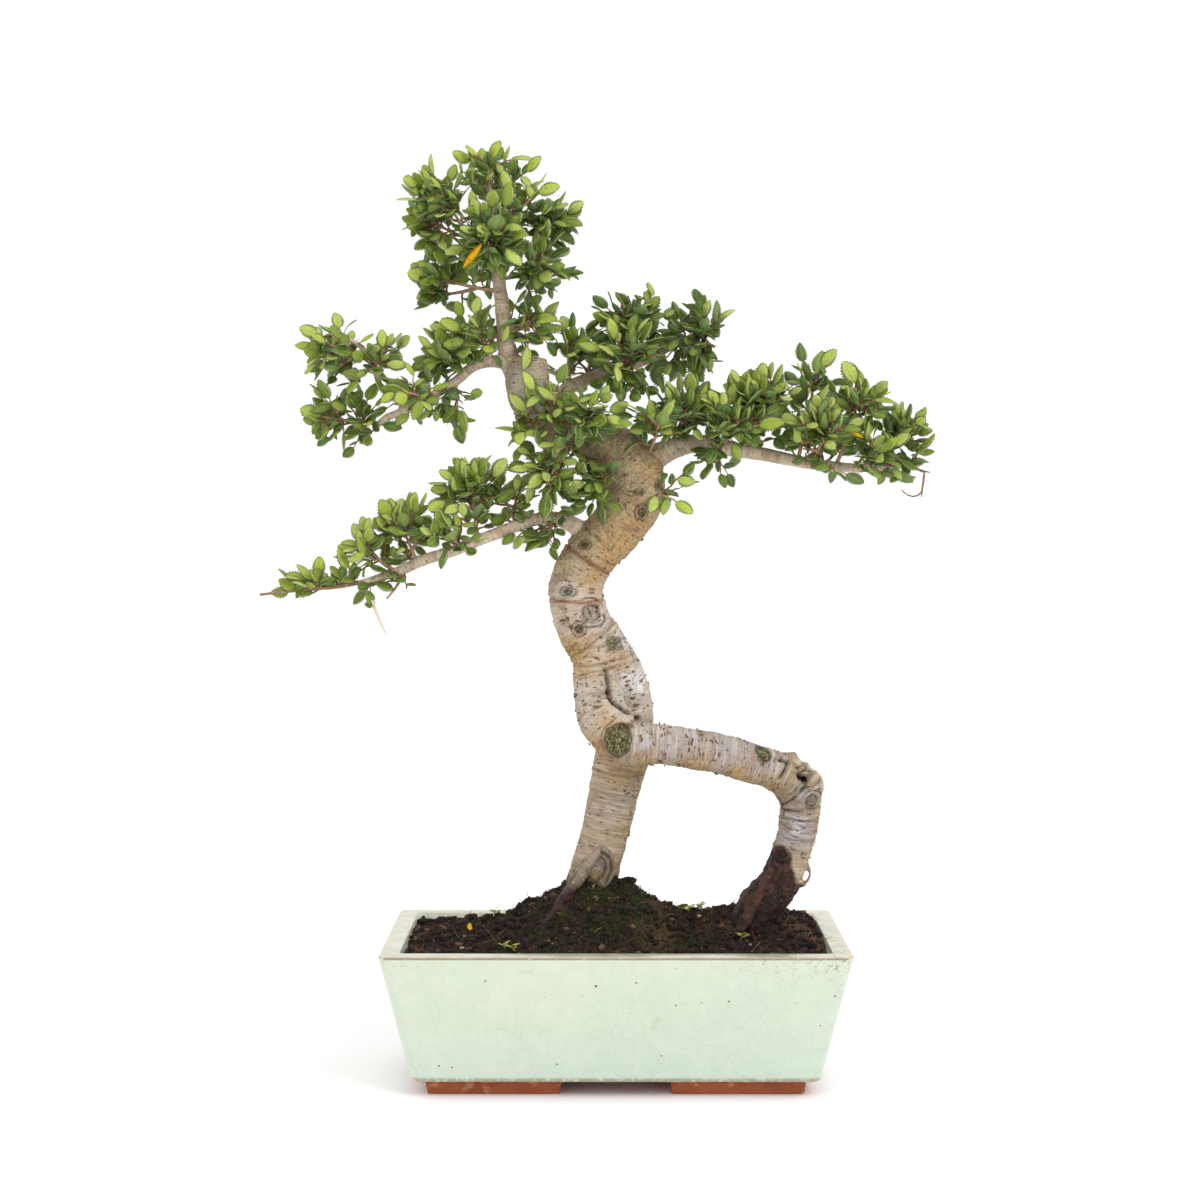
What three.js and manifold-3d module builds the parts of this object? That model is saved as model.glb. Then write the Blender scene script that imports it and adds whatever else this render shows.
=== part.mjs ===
// A Chinese elm bonsai in a glazed rectangular pot.
// Millimetres, +Z up, front towards -Y. Everything is drawn about the middle of the pot on the table,
// and the whole group is then moved so that its origin is the middle of its own box, at the bottom.

import * as THREE from 'three';
import { mergeVertices } from 'three/addons/utils/BufferGeometryUtils.js';
import Module from 'manifold-3d';

const wasm = await Module();
wasm.setup();

// Driving dimensions of the pot
const POT_LENGTH = 300;
const POT_DEPTH = 148;
const POT_TOP = 95;
const POT_BOTTOM = 10;
const POT_TAPER = 19;
const RIM_WIDTH = 13;
const WALL = 11;
const FLOOR_TOP = 22;
const CORNER_RADIUS = 7;
const RIM_ROUND = 1.5;
const FOOT_INNER_X = 34;
const FOOT_OUTER_X = 123;
const FOOT_OUTER_Y = 48;
const FOOT_BAR = 20;
const FOOT_RETURN = 12;
const FOOT_DRAFT = 3.5;
const DRAIN_X = 72;
const DRAIN_RADIUS = 12.5;

// Driving dimensions of the drainage mesh and its wire clips
const MESH_SIZE = 36;
const MESH_THICKNESS = 1.4;
const MESH_OPENINGS = 3;
const MESH_BAR = 1.8;
const WIRE_RADIUS = 0.8;
const WIRE_SIDES = 5;
const WIRE_STEP = 4;
const CLIP_HALF_SPAN = 9;
const CLIP_HOOK = 17;

// Driving dimensions of the soil
const SOIL_LEVEL = 89;
const SOIL_CEILING = 200;
const SOIL_COLUMNS = 16;
const SOIL_ROWS = 8;
const SOIL_GRAIN = 1.2;

// Driving dimensions of the foliage
const LEAF_LENGTH = 17;
const LEAF_THICKNESS = 0.65;
const LEAF_RISE = 0.12;
const STATION_GAP = 13;
const LEAF_GAP = 6.2;
const TWIG_RADIUS = 1.1;
const SHOOT_HALF_WIDTH = 0.6;
const TIP_LEAVES = 3;
const SIDE_LEAVES = 2;
const LONG_STEM_POINTS = 7;
const BACK_FROM = 12;
const FACE_OUT = 0.9;

// The space left between two pieces that touch on the real thing
const CLEARANCE = 0.3;

const UP = new THREE.Vector3(0, 0, 1);

// Woody limbs: points along each centre line, as x, y, z and radius
const LIMBS = {
  trunk: [
    [-2, 2, 256, 17], [-4, 1, 268, 19], [-12, 0, 284, 20], [-20, 0, 297, 19], [-24, 0, 309, 18.6],
    [-26, 0, 323, 18], [-22, 0, 336, 18], [-12, 0, 350, 18], [1, 0, 364, 18.5], [11, 0, 381, 20.5],
    [11, 0, 398, 20.5], [-1, 2, 414, 17], [-23, 3, 426, 14.5], [-44, 2, 434, 13.5],
    [-56, 0, 447, 13.5], [-58, 0, 463, 15.2], [-57, 0, 474, 12.5],
  ],
  rearLeg: [
    [-15, 0, 302, 12], [-7, 0, 286, 14], [4, 5, 262, 16.5],
    [8, 10, 236, 18], [5, 12, 211, 18.6], [0, 10, 192, 17],
    [-5, 9, 168, 16.2], [-12, 8, 142, 16], [-17, 8, 122, 17], [-22, 8, 100, 17], [-26, 8, 80, 13],
  ],
  frontLeg: [
    [-18, -1, 304, 12], [-14, -3, 284, 14], [-12, -11, 258, 16], [-7, -19, 239, 17], [5, -23, 225, 15],
    [28, -23, 223, 13.8], [54, -19, 219, 13.2], [81, -13, 212, 13.2],
    [103, -8, 204, 13], [117, -5, 195, 14],
    [122, -3, 183, 13.4], [121, -2, 169, 12.8], [117, 1, 150, 12.6], [110, 3, 130, 12.8],
    [97, 5, 112, 15], [90, 6, 98, 15], [87, 6, 82, 12],
  ],
  frontRoot: [
    [-13, -4, 148, 5], [-24, -8, 132, 5.5], [-36, -12, 119, 4.5], [-47, -16, 106, 3.5], [-56, -20, 93, 2.5],
  ],
  lowRoot: [[-15, -2, 128, 6], [-20, -12, 117, 6], [-23, -19, 106, 4.5], [-26, -25, 93, 3]],
  rightRoot: [[-9, 14, 128, 6], [7, 18, 118, 5], [23, 24, 106, 3.5]],
  kneeRoot: [[94, 2, 112, 6], [85, -3, 103, 5], [77, -8, 94, 3]],
  curlRoot: [
    [116, 3, 148, 2], [124, 1, 144, 1.4], [128, 0, 138, 1.2],
    [128, 0, 131, 1.2], [121, 1, 125, 1.4], [111, 2, 120, 2],
  ],
  leader: [
    [-63, 0, 460, 9], [-69, -2, 471, 7], [-72, -4, 488, 5.4], [-74, -4, 508, 5], [-76, -2, 524, 4.6],
    [-76, 2, 541, 4], [-78, 4, 560, 3.2], [-81, 2, 579, 2.4], [-83, 0, 596, 1.6],
  ],
  upperLeft: [
    [-59, 0, 466, 6], [-77, -6, 471, 4.4], [-91, -12, 468, 3.8],
    [-104, -16, 457, 3.4], [-120, -20, 447, 3.2],
    [-136, -22, 438, 3], [-147, -24, 434, 2.6], [-155, -25, 427, 1.8],
  ],
  upperShoot: [
    [-133, -22, 440, 2.6], [-150, -24, 453, 2.2], [-157, -26, 471, 2],
    [-166, -28, 481, 1.8], [-175, -29, 484, 1.4],
  ],
  lowerLeft: [
    [-11, 0, 352, 9], [-25, -4, 363, 6], [-39, -12, 369, 4.8], [-54, -18, 368, 4.3], [-75, -24, 360, 4.1],
    [-89, -28, 355, 4], [-103, -32, 349, 3.9], [-122, -34, 343, 3.7],
    [-140, -36, 335, 3.4], [-153, -38, 331, 2.6],
    [-166, -40, 328, 1.6],
  ],
  right: [
    [7, 0, 400, 14], [25, 1, 409, 9], [42, 4, 416, 6.6],
    [55, 6, 418, 6.2], [80, 10, 414, 5.2], [99, 12, 411, 4.6],
    [118, 14, 407, 4.2], [136, 14, 404, 3.8], [161, 12, 402, 3.2], [184, 10, 403, 2], [193, 9, 403, 1.5],
  ],
  upperRight: [
    [-43, 2, 440, 8], [-35, 12, 452, 5], [-11, 18, 464, 4.2],
    [16, 22, 472, 3.6], [39, 24, 484, 2.8], [55, 24, 490, 1.8],
  ],
  midTwig: [[-1, 18, 467, 3], [5, 22, 480, 2.4], [11, 22, 495, 1.6]],
};

// Sprays: the limb and the place along it where the stem leaves, the reach of its side shoots,
// and the tips of its stem and of the fork that leaves the stem low down
const SPRAYS = [
  ['leader', 0.62, 26, [-141, -8, 571], [-123, -26, 592]],
  ['leader', 0.86, 22, [-96, -8, 609]],
  ['leader', 0.82, 26, [-64, 16, 608], [-81, 36, 590]],
  ['leader', 0.74, 26, [-43, -18, 582], [-24, 6, 562]],
  ['leader', 0.48, 25, [-25, -20, 532], [-33, 22, 521]],
  ['leader', 0.42, 24, [-134, -14, 528], [-133, 18, 514]],
  ['leader', 0.66, 26, [-88, -52, 546]],
  ['leader', 0.7, 28, [-70, 54, 569]],
  ['leader', 0.55, 26, [-111, 50, 544]],
  ['leader', 0.16, 24, [-113, -26, 495], [-82, -46, 480]],
  ['leader', 0.24, 22, [-39, -18, 502]],
  ['leader', 0.2, 24, [-60, 40, 503]],
  ['upperLeft', 0.96, 22, [-203, -34, 436], [-172, -18, 422]],
  ['upperShoot', 0.66, 24, [-200, -38, 486], [-187, 4, 461]],
  ['upperShoot', 0.5, 22, [-151, -44, 481]],
  ['upperLeft', 0.38, 26, [-120, -6, 481]],
  ['upperLeft', 0.6, 26, [-137, -66, 448]],
  ['upperLeft', 0.68, 28, [-149, 26, 461]],
  ['upperLeft', 0.46, 20, [-100, -30, 423]],
  ['lowerLeft', 0.97, 16, [-220, -44, 323]],
  ['lowerLeft', 0.8, 18, [-154, -50, 305]],
  ['lowerLeft', 0.84, 24, [-171, -50, 362]],
  ['lowerLeft', 0.76, 26, [-146, -28, 381], [-127, 18, 368]],
  ['lowerLeft', 0.52, 24, [-96, -40, 410]],
  ['lowerLeft', 0.36, 24, [-82, -8, 404]],
  ['lowerLeft', 0.58, 26, [-103, -74, 358]],
  ['lowerLeft', 0.2, 18, [-59, -36, 345]],
  ['trunk', 0.87, 24, [-64, -46, 415]],
  ['trunk', 0.8, 26, [-40, -58, 453], [-5, -60, 444]],
  ['trunk', 0.74, 24, [-53, -56, 390]],
  ['trunk', 0.66, 22, [-13, -50, 380]],
  ['right', 0.06, 24, [32, -44, 441]],
  ['upperRight', 0.97, 24, [69, 30, 511], [60, 0, 486]],
  ['midTwig', 0.95, 24, [27, 14, 516], [0, 28, 507]],
  ['upperRight', 0.2, 26, [-32, 10, 502]],
  ['upperRight', 0.5, 26, [16, -28, 481]],
  ['upperRight', 0.75, 28, [24, 72, 503]],
  ['upperRight', 0.32, 28, [-17, 56, 483]],
  ['right', 0.86, 20, [209, 0, 405], [199, 18, 441]],
  ['right', 0.75, 24, [165, 2, 471]],
  ['right', 0.62, 24, [137, 24, 481]],
  ['right', 0.44, 26, [99, -14, 466]],
  ['right', 0.16, 26, [54, 2, 459]],
  ['right', 0.82, 24, [178, -38, 419]],
  ['right', 0.66, 26, [140, -44, 434]],
  ['right', 0.34, 26, [84, -42, 438]],
  ['right', 0.7, 28, [158, 58, 425]],
  ['right', 0.4, 28, [99, 60, 436]],
  ['right', 0.3, 20, [76, -16, 399]],
  ['trunk', 0.56, 16, [50, -34, 376]],
];

// Colours of the pieces
const COLOURS = {
  glaze: new THREE.MeshStandardMaterial({ color: 0xd9e4d2, roughness: 0.22, metalness: 0 }),
  soil: new THREE.MeshStandardMaterial({ color: 0x2b1c15, roughness: 1, metalness: 0 }),
  bark: new THREE.MeshStandardMaterial({ color: 0xcabfb2, roughness: 0.8, metalness: 0 }),
  leaf: new THREE.MeshStandardMaterial({ color: 0x4f7a2a, roughness: 0.5, metalness: 0 }),
  plastic: new THREE.MeshStandardMaterial({ color: 0x25282a, roughness: 0.55, metalness: 0 }),
  wire: new THREE.MeshStandardMaterial({ color: 0xa9acae, roughness: 0.4, metalness: 1 }),
};

// A repeatable draw of numbers from 0 to 1
function seeded(seed) {
  const modulus = 2147483647;
  let state = (seed * 7919 + 17) % modulus;
  return () => {
    state = (state * 48271) % modulus;
    return state / modulus;
  };
}

// Turns a closed geometry into a solid that can be cut and joined
function solidOf(geometry) {
  const plain = new THREE.BufferGeometry();
  plain.setAttribute('position', geometry.getAttribute('position'));
  if (geometry.index) plain.setIndex(geometry.index);
  const merged = mergeVertices(plain, 1e-4);
  const mesh = new wasm.Mesh({
    numProp: 3,
    vertProperties: new Float32Array(merged.getAttribute('position').array),
    triVerts: new Uint32Array(merged.index.array),
  });
  return new wasm.Manifold(mesh);
}

// Turns a solid back into a named mesh
function meshOf(name, solid, material) {
  const cut = solid.getMesh();
  const geometry = new THREE.BufferGeometry();
  geometry.setAttribute('position', new THREE.BufferAttribute(cut.vertProperties, 3));
  geometry.setIndex(new THREE.BufferAttribute(cut.triVerts, 1));
  geometry.computeVertexNormals();
  const mesh = new THREE.Mesh(geometry, material);
  mesh.name = name;
  return mesh;
}

// Closed solid through a stack of rings that all have the same number of points
function loft(rings) {
  const count = rings[0].length;
  const positions = rings.flat().flatMap((point) => [point.x, point.y, point.z]);
  const index = [];
  for (let ring = 0; ring < rings.length - 1; ring += 1) {
    for (let side = 0; side < count; side += 1) {
      const a = ring * count + side;
      const b = ring * count + (side + 1) % count;
      index.push(a, b, b + count, a, b + count, a + count);
    }
  }
  const last = (rings.length - 1) * count;
  for (let side = 1; side < count - 1; side += 1) {
    index.push(0, side + 1, side);
    index.push(last, last + side, last + side + 1);
  }
  const geometry = new THREE.BufferGeometry();
  geometry.setAttribute('position', new THREE.Float32BufferAttribute(positions, 3));
  geometry.setIndex(index);
  return solidOf(geometry);
}

// Outline of a rectangle with round corners, anticlockwise at one height
function roundedRectangle(halfX, halfY, radius, z, cornerSteps = 4) {
  const ring = [];
  for (let corner = 0; corner < 4; corner += 1) {
    const signX = corner === 0 || corner === 3 ? 1 : -1;
    const signY = corner < 2 ? 1 : -1;
    for (let step = 0; step <= cornerSteps; step += 1) {
      const angle = (corner + step / cornerSteps) * Math.PI / 2;
      ring.push(new THREE.Vector3(
        signX * (halfX - radius) + radius * Math.cos(angle),
        signY * (halfY - radius) + radius * Math.sin(angle),
        z,
      ));
    }
  }
  return ring;
}

// Straight round bar between two heights
function uprightCylinder(x, y, bottom, top, radius, sides) {
  const geometry = new THREE.CylinderGeometry(radius, radius, top - bottom, sides);
  geometry.rotateX(Math.PI / 2);
  geometry.translate(x, y, (bottom + top) / 2);
  return solidOf(geometry);
}

function box(x, y, z, sizeX, sizeY, sizeZ) {
  const geometry = new THREE.BoxGeometry(sizeX, sizeY, sizeZ);
  geometry.translate(x, y, z);
  return solidOf(geometry);
}

// Pot

// The inside of the pot: half sizes at a height, shared by the pot's walls and by the soil
function cavityHalf(z, clearance) {
  const share = (z - FLOOR_TOP) / (POT_TOP - FLOOR_TOP);
  const bottomInset = POT_TAPER + WALL;
  const inset = bottomInset + (RIM_WIDTH - bottomInset) * share + clearance;
  return [POT_LENGTH / 2 - inset, POT_DEPTH / 2 - inset];
}

function potBody() {
  const halfX = POT_LENGTH / 2;
  const halfY = POT_DEPTH / 2;
  const outer = (inset, z) => roundedRectangle(halfX - inset, halfY - inset, CORNER_RADIUS - inset * 0.1, z);
  const [rimX, rimY] = cavityHalf(POT_TOP, 0);
  const [floorX, floorY] = cavityHalf(FLOOR_TOP, 0);
  return loft([
    outer(POT_TAPER + RIM_ROUND, POT_BOTTOM),
    outer(POT_TAPER, POT_BOTTOM + RIM_ROUND),
    outer(0, POT_TOP - RIM_ROUND),
    outer(RIM_ROUND * 0.8, POT_TOP),
    roundedRectangle(rimX + RIM_ROUND * 0.8, rimY + RIM_ROUND * 0.8, 5, POT_TOP),
    roundedRectangle(rimX, rimY, 4.5, POT_TOP - RIM_ROUND),
    roundedRectangle(floorX, floorY, 4, FLOOR_TOP),
  ]);
}

// One L-shaped foot for the corner on the given sides, a little smaller at the table
function foot(signX, signY) {
  const ring = (inset) => {
    const outerX = FOOT_OUTER_X - inset;
    const innerX = FOOT_INNER_X + inset;
    const outerY = FOOT_OUTER_Y - inset;
    const barY = FOOT_OUTER_Y - FOOT_BAR + inset;
    const legX = FOOT_OUTER_X - FOOT_BAR + inset;
    const legY = FOOT_RETURN + inset;
    const points = [
      [outerX, legY], [outerX, outerY], [innerX, outerY],
      [innerX, barY], [legX, barY], [legX, legY],
    ];
    const placed = points.map(([x, y]) => new THREE.Vector2(signX * x, signY * y));
    return signX * signY > 0 ? placed : placed.reverse();
  };
  const atHeight = (inset, z) => ring(inset).map((point) => new THREE.Vector3(point.x, point.y, z));
  return slab(ring(0), atHeight(FOOT_DRAFT, 0), atHeight(0, POT_BOTTOM + 1));
}

function buildPot() {
  let pot = potBody();
  for (const signX of [-1, 1]) {
    for (const signY of [-1, 1]) pot = pot.add(foot(signX, signY));
    const hole = uprightCylinder(signX * DRAIN_X, 0, 0, FLOOR_TOP + 5, DRAIN_RADIUS, 20);
    pot = pot.subtract(hole);
  }
  return pot;
}

// Drainage mesh and clips

function buildDrainageMesh(x) {
  const z = FLOOR_TOP + CLEARANCE + MESH_THICKNESS / 2;
  let mesh = box(x, 0, z, MESH_SIZE, MESH_SIZE, MESH_THICKNESS);
  const pitch = (MESH_SIZE - MESH_BAR) / MESH_OPENINGS;
  const opening = pitch - MESH_BAR;
  for (let column = 0; column < MESH_OPENINGS; column += 1) {
    for (let row = 0; row < MESH_OPENINGS; row += 1) {
      const offsetX = (column - (MESH_OPENINGS - 1) / 2) * pitch;
      const offsetY = (row - (MESH_OPENINGS - 1) / 2) * pitch;
      mesh = mesh.subtract(box(x + offsetX, offsetY, z, opening, opening, MESH_THICKNESS * 3));
    }
  }
  return mesh;
}

// A staple of wire over the mesh, down through the hole and bent out under the pot
function clipPath(x) {
  const top = FLOOR_TOP + CLEARANCE + MESH_THICKNESS + CLEARANCE + WIRE_RADIUS;
  const below = POT_BOTTOM - CLEARANCE - WIRE_RADIUS;
  const half = [
    [0, top], [CLIP_HALF_SPAN - 1.5, top], [CLIP_HALF_SPAN - 0.3, top - 0.5], [CLIP_HALF_SPAN, top - 2],
    [CLIP_HALF_SPAN, below + 4], [CLIP_HALF_SPAN + 0.8, below + 1], [CLIP_HALF_SPAN + 2.5, below],
    [CLIP_HOOK, below],
  ];
  const left = half.slice(1).reverse().map(([offset, z]) => [x - offset, 0, z, WIRE_RADIUS]);
  const right = half.map(([offset, z]) => [x + offset, 0, z, WIRE_RADIUS]);
  return [...left, ...right];
}

// Limbs, stems and wires

// The smooth centre line through a limb's points
function curveOf(line) {
  const points = line.map(([x, y, z]) => new THREE.Vector3(x, y, z));
  return new THREE.CatmullRomCurve3(points, false, 'centripetal');
}

// Points and radii along a hand-drawn centre line, evenly spaced
function sampleLine(line, step) {
  const curve = curveOf(line);
  const steps = Math.max(2, Math.round(curve.getLength() / step));
  const samples = [];
  for (let i = 0; i <= steps; i += 1) {
    const t = curve.getUtoTmapping(i / steps);
    const place = t * (line.length - 1);
    const first = Math.min(Math.floor(place), line.length - 2);
    const radius = THREE.MathUtils.lerp(line[first][3], line[first + 1][3], place - first);
    samples.push({ point: curve.getPoint(t), radius });
  }
  return samples;
}

// Round tube with closed ends along sampled points
function tube(samples, sides, growth = 0) {
  const rings = [];
  let across = null;
  for (let i = 0; i < samples.length; i += 1) {
    const before = samples[Math.max(i - 1, 0)].point;
    const after = samples[Math.min(i + 1, samples.length - 1)].point;
    const tangent = after.clone().sub(before).normalize();
    if (across === null) across = Math.abs(tangent.z) > 0.9 ? new THREE.Vector3(1, 0, 0) : UP.clone();
    across = across.clone().addScaledVector(tangent, -across.dot(tangent)).normalize();
    const other = tangent.clone().cross(across);
    const radius = samples[i].radius + growth;
    const ring = [];
    for (let side = 0; side < sides; side += 1) {
      const angle = side * 2 * Math.PI / sides;
      ring.push(samples[i].point.clone()
        .addScaledVector(across, radius * Math.cos(angle))
        .addScaledVector(other, radius * Math.sin(angle)));
    }
    rings.push(ring);
  }
  return loft(rings);
}

// Sides and step of each limb by its thickness
function limbTube(line, growth) {
  const thick = Math.max(...line.map((point) => point[3]));
  const sides = thick > 12 ? 9 : 5;
  const step = thick > 12 ? 12.5 : 16;
  return tube(sampleLine(line, step), sides, growth);
}

// The whole woody part, or the same grown by a clearance
function buildWood(growth) {
  return wasm.Manifold.union(Object.values(LIMBS).map((line) => limbTube(line, growth)));
}

// Place on a limb at a share of its length
function placeOnLimb(name, share) {
  return curveOf(LIMBS[name]).getPointAt(share);
}

// Foliage: how a stem grows

// Directions of a stem: to its side, and out of its flat spread of shoots, which faces up and to the light
function stemFrame(along, facing) {
  const side = facing.clone().cross(along).normalize();
  const lift = along.clone().cross(side).normalize();
  return { side, lift };
}

// Foliage on the front of the tree faces up and forwards, on the back up and backwards
function facingOf(tip) {
  return new THREE.Vector3(0, tip.y < BACK_FROM ? -FACE_OUT : FACE_OUT, 1).normalize();
}

// A leaf's place on its stem: distance from the start, side, angle and length; always two draws
function growLeaf(distance, sign, size, random) {
  const angle = sign * (0.8 + 0.25 * random());
  const length = LEAF_LENGTH * size * (0.84 + 0.3 * random());
  return { distance, angle, length };
}

// A straight shoot with its leaves in two ranks, the last one at its tip
function growShoot(start, direction, length, facing, random) {
  const { side, lift } = stemFrame(direction, facing);
  const twist = 1.2 * (random() - 0.5);
  const frame = {
    along: direction.clone(),
    side: side.clone().applyAxisAngle(direction, twist),
    lift: lift.clone().applyAxisAngle(direction, twist),
  };
  const leaves = [];
  const count = Math.max(2, Math.floor(length / LEAF_GAP));
  for (let i = 1; i < count; i += 1) {
    const share = i / count;
    leaves.push(growLeaf(length * share, i % 2 === 0 ? 1 : -1, 0.8 + 0.2 * share, random));
  }
  const last = growLeaf(length, 0, 1, random);
  leaves.push(last);
  return { start, length, frame, leaves };
}

// One stem from its root to the tip of its last leaf, with its side shoots and its leafy end
function growStem(root, tip, reach, random) {
  const heading = tip.clone().sub(root).normalize();
  const end = tip.clone().addScaledVector(heading, -LEAF_LENGTH);
  const length = end.distanceTo(root);
  const facing = facingOf(tip);
  const frame = stemFrame(heading, facing);
  const bow = 0.16 * (random() - 0.5);
  const sag = 0.06 + 0.06 * random();
  const control = root.clone().lerp(end, 0.5)
    .addScaledVector(frame.side, bow * length)
    .addScaledVector(frame.lift, -sag * length);
  const steps = Math.max(3, Math.round(length / STATION_GAP));
  const points = [];
  for (let i = 0; i <= steps; i += 1) {
    const t = i / steps;
    points.push(root.clone().multiplyScalar((1 - t) * (1 - t))
      .addScaledVector(control, 2 * t * (1 - t))
      .addScaledVector(end, t * t));
  }
  const shoots = [];
  for (let i = 1; i < steps; i += 1) {
    const along = points[i + 1].clone().sub(points[i - 1]).normalize();
    const sign = i % 2 === 0 ? 1 : -1;
    const angle = 0.7 + 0.35 * random();
    const rise = 0.5 * (random() - 0.3);
    const direction = along.clone().multiplyScalar(Math.cos(angle))
      .addScaledVector(frame.side, sign * Math.sin(angle))
      .addScaledVector(frame.lift, rise)
      .normalize();
    const size = reach * (1 - 0.5 * i / steps) * (0.8 + 0.4 * random());
    shoots.push(growShoot(points[i], direction, size, facing, random));
  }
  const last = end.clone().sub(points[steps - 1]);
  const tipShoot = growShoot(points[steps - 1], last.clone().normalize(), last.length(), facing, random);
  return { points, shoots, tipShoot };
}

// The stems of one spray: the main one, and the fork where there is one
function growSpray(entry, number) {
  const [limb, share, reach, tip, forkTip] = entry;
  const random = seeded(number);
  const root = placeOnLimb(limb, share);
  const main = growStem(root, new THREE.Vector3(...tip), reach, random);
  const stems = [main];
  if (forkTip) {
    const fork = main.points[Math.max(1, Math.round((main.points.length - 1) * 0.3))];
    stems.push(growStem(fork.clone(), new THREE.Vector3(...forkTip), reach * 0.9, random));
  }
  return stems;
}

// Foliage: solids

// Half outline of a leaf with a tooth on its edge, as shares of its length: along, across
const LEAF_HALF = [[0.07, 0.045], [0.5, 0.265], [0.57, 0.205]];

// Outline of one leaf from the root side of its shoot round to the tip side
function leafOutline({ distance, angle, length }) {
  const sign = Math.sign(angle) || 1;
  const along = new THREE.Vector2(Math.cos(angle), Math.sin(angle));
  const forward = new THREE.Vector2(sign * Math.sin(angle), -sign * Math.cos(angle));
  const at = (share, half) => new THREE.Vector2(distance, 0)
    .addScaledVector(along, share * length)
    .addScaledVector(forward, half * length);
  const rootSide = LEAF_HALF.map(([share, half]) => at(share, -half));
  const tipSide = LEAF_HALF.map(([share, half]) => at(share, half)).reverse();
  return [...rootSide, at(1, 0), ...tipSide];
}

// Outline of a shoot with its last few leaves: out along one side, round its tip leaf, back along the other
function shootOutline(shoot, leafCount) {
  const kept = shoot.leaves.slice(-leafCount);
  const tipLeaf = leafOutline({ ...kept[kept.length - 1], angle: 0 });
  const onSide = (sign) => kept.slice(0, -1)
    .filter((leaf) => Math.sign(leaf.angle) === sign)
    .flatMap(leafOutline);
  return [
    new THREE.Vector2(0, -SHOOT_HALF_WIDTH),
    ...onSide(-1),
    ...tipLeaf.reverse(),
    ...onSide(1).reverse(),
    new THREE.Vector2(0, SHOOT_HALF_WIDTH),
  ];
}

// Flat shoot and leaves in one thin solid, both faces split along the same lines
function leafyShoot(shoot, leafCount) {
  const outline = shootOutline(shoot, leafCount);
  const { along, side, lift } = shoot.frame;
  const face = (offset) => outline.map((point) => shoot.start.clone()
    .addScaledVector(along, point.x)
    .addScaledVector(side, point.y)
    .addScaledVector(lift, offset + Math.abs(point.y) * LEAF_RISE));
  return slab(outline, face(-LEAF_THICKNESS / 2), face(LEAF_THICKNESS / 2));
}

// Closes two like outlines, lower and upper, into a solid, with both split as the flat outline is
function slab(outline, lower, upper) {
  const count = outline.length;
  const index = [];
  for (const [a, b, c] of THREE.ShapeUtils.triangulateShape(outline, [])) {
    const turn = outline[b].clone().sub(outline[a]).cross(outline[c].clone().sub(outline[a]));
    const [second, third] = turn > 0 ? [b, c] : [c, b];
    index.push(a, third, second);
    index.push(a + count, second + count, third + count);
  }
  for (let side = 0; side < count; side += 1) {
    const next = (side + 1) % count;
    index.push(side, next, next + count, side, next + count, side + count);
  }
  const positions = [...lower, ...upper].flatMap((point) => [point.x, point.y, point.z]);
  const geometry = new THREE.BufferGeometry();
  geometry.setAttribute('position', new THREE.Float32BufferAttribute(positions, 3));
  geometry.setIndex(index);
  return solidOf(geometry);
}

// Thin twig through points, getting thinner to its tip
function twigSolid(points, startRadius, endRadius) {
  const samples = points.map((point, i) => ({
    point,
    radius: THREE.MathUtils.lerp(startRadius, endRadius, i / (points.length - 1)),
  }));
  return tube(samples, 3);
}

// True where a solid comes nearer to one of the others than the clearance
function touches(solid, others) {
  const own = solid.boundingBox();
  const reach = CLEARANCE + 0.2;
  return others.some((other) => {
    const apart = [0, 1, 2].some((axis) => own.min[axis] > other.box.max[axis] + reach
      || own.max[axis] < other.box.min[axis] - reach);
    return !apart && solid.minGap(other.solid, 1) < reach;
  });
}

function withBox(solid) {
  return { solid, box: solid.boundingBox() };
}

// Every second point of a stem, with both of its ends
function thinned(points) {
  return points.filter((point, i) => i % 2 === 0 || i === points.length - 1);
}

// The longest side shoots of a stem, more of them on a long stem
function mainShoots(stem) {
  const most = stem.points.length > LONG_STEM_POINTS ? 2 : 1;
  return [...stem.shoots].sort((a, b) => b.length - a.length).slice(0, most);
}

// Adds a leafy shoot to a spray, with fewer leaves or not at all where it is not clear
function addShoot(spray, shoot, leafCount, others) {
  const own = spray.parts.filter((part) => part.leafy);
  for (let count = leafCount; count > 0; count -= 1) {
    const solid = leafyShoot(shoot, count);
    const neighbours = count > 1 ? [...others, ...own] : others;
    if (!touches(solid, neighbours)) {
      spray.parts.push({ ...withBox(solid), leafy: true });
      return;
    }
  }
}

function buildSprays(grownWood) {
  const wood = withBox(grownWood);
  const sprays = SPRAYS.map((entry, i) => {
    const stems = growSpray(entry, i + 1);
    const twigs = stems.map((stem) => twigSolid(thinned(stem.points), TWIG_RADIUS * 1.25, TWIG_RADIUS * 0.7));
    return { stems, parts: twigs.map(withBox), name: `spray_${String(i + 1).padStart(2, '0')}` };
  });
  const othersOf = (spray) => {
    const others = sprays.filter((other) => other !== spray);
    return [wood, ...others.flatMap((other) => other.parts)];
  };
  for (const spray of sprays) {
    for (const stem of spray.stems) addShoot(spray, stem.tipShoot, TIP_LEAVES, othersOf(spray));
  }
  for (const spray of sprays) {
    for (const shoot of spray.stems.flatMap(mainShoots)) addShoot(spray, shoot, SIDE_LEAVES, othersOf(spray));
  }
  return sprays.map((spray) => {
    const joined = wasm.Manifold.union(spray.parts.map((part) => part.solid)).subtract(grownWood);
    const pieces = joined.decompose().sort((a, b) => b.volume() - a.volume());
    return { name: spray.name, solid: pieces[0] };
  });
}

// Soil

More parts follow.
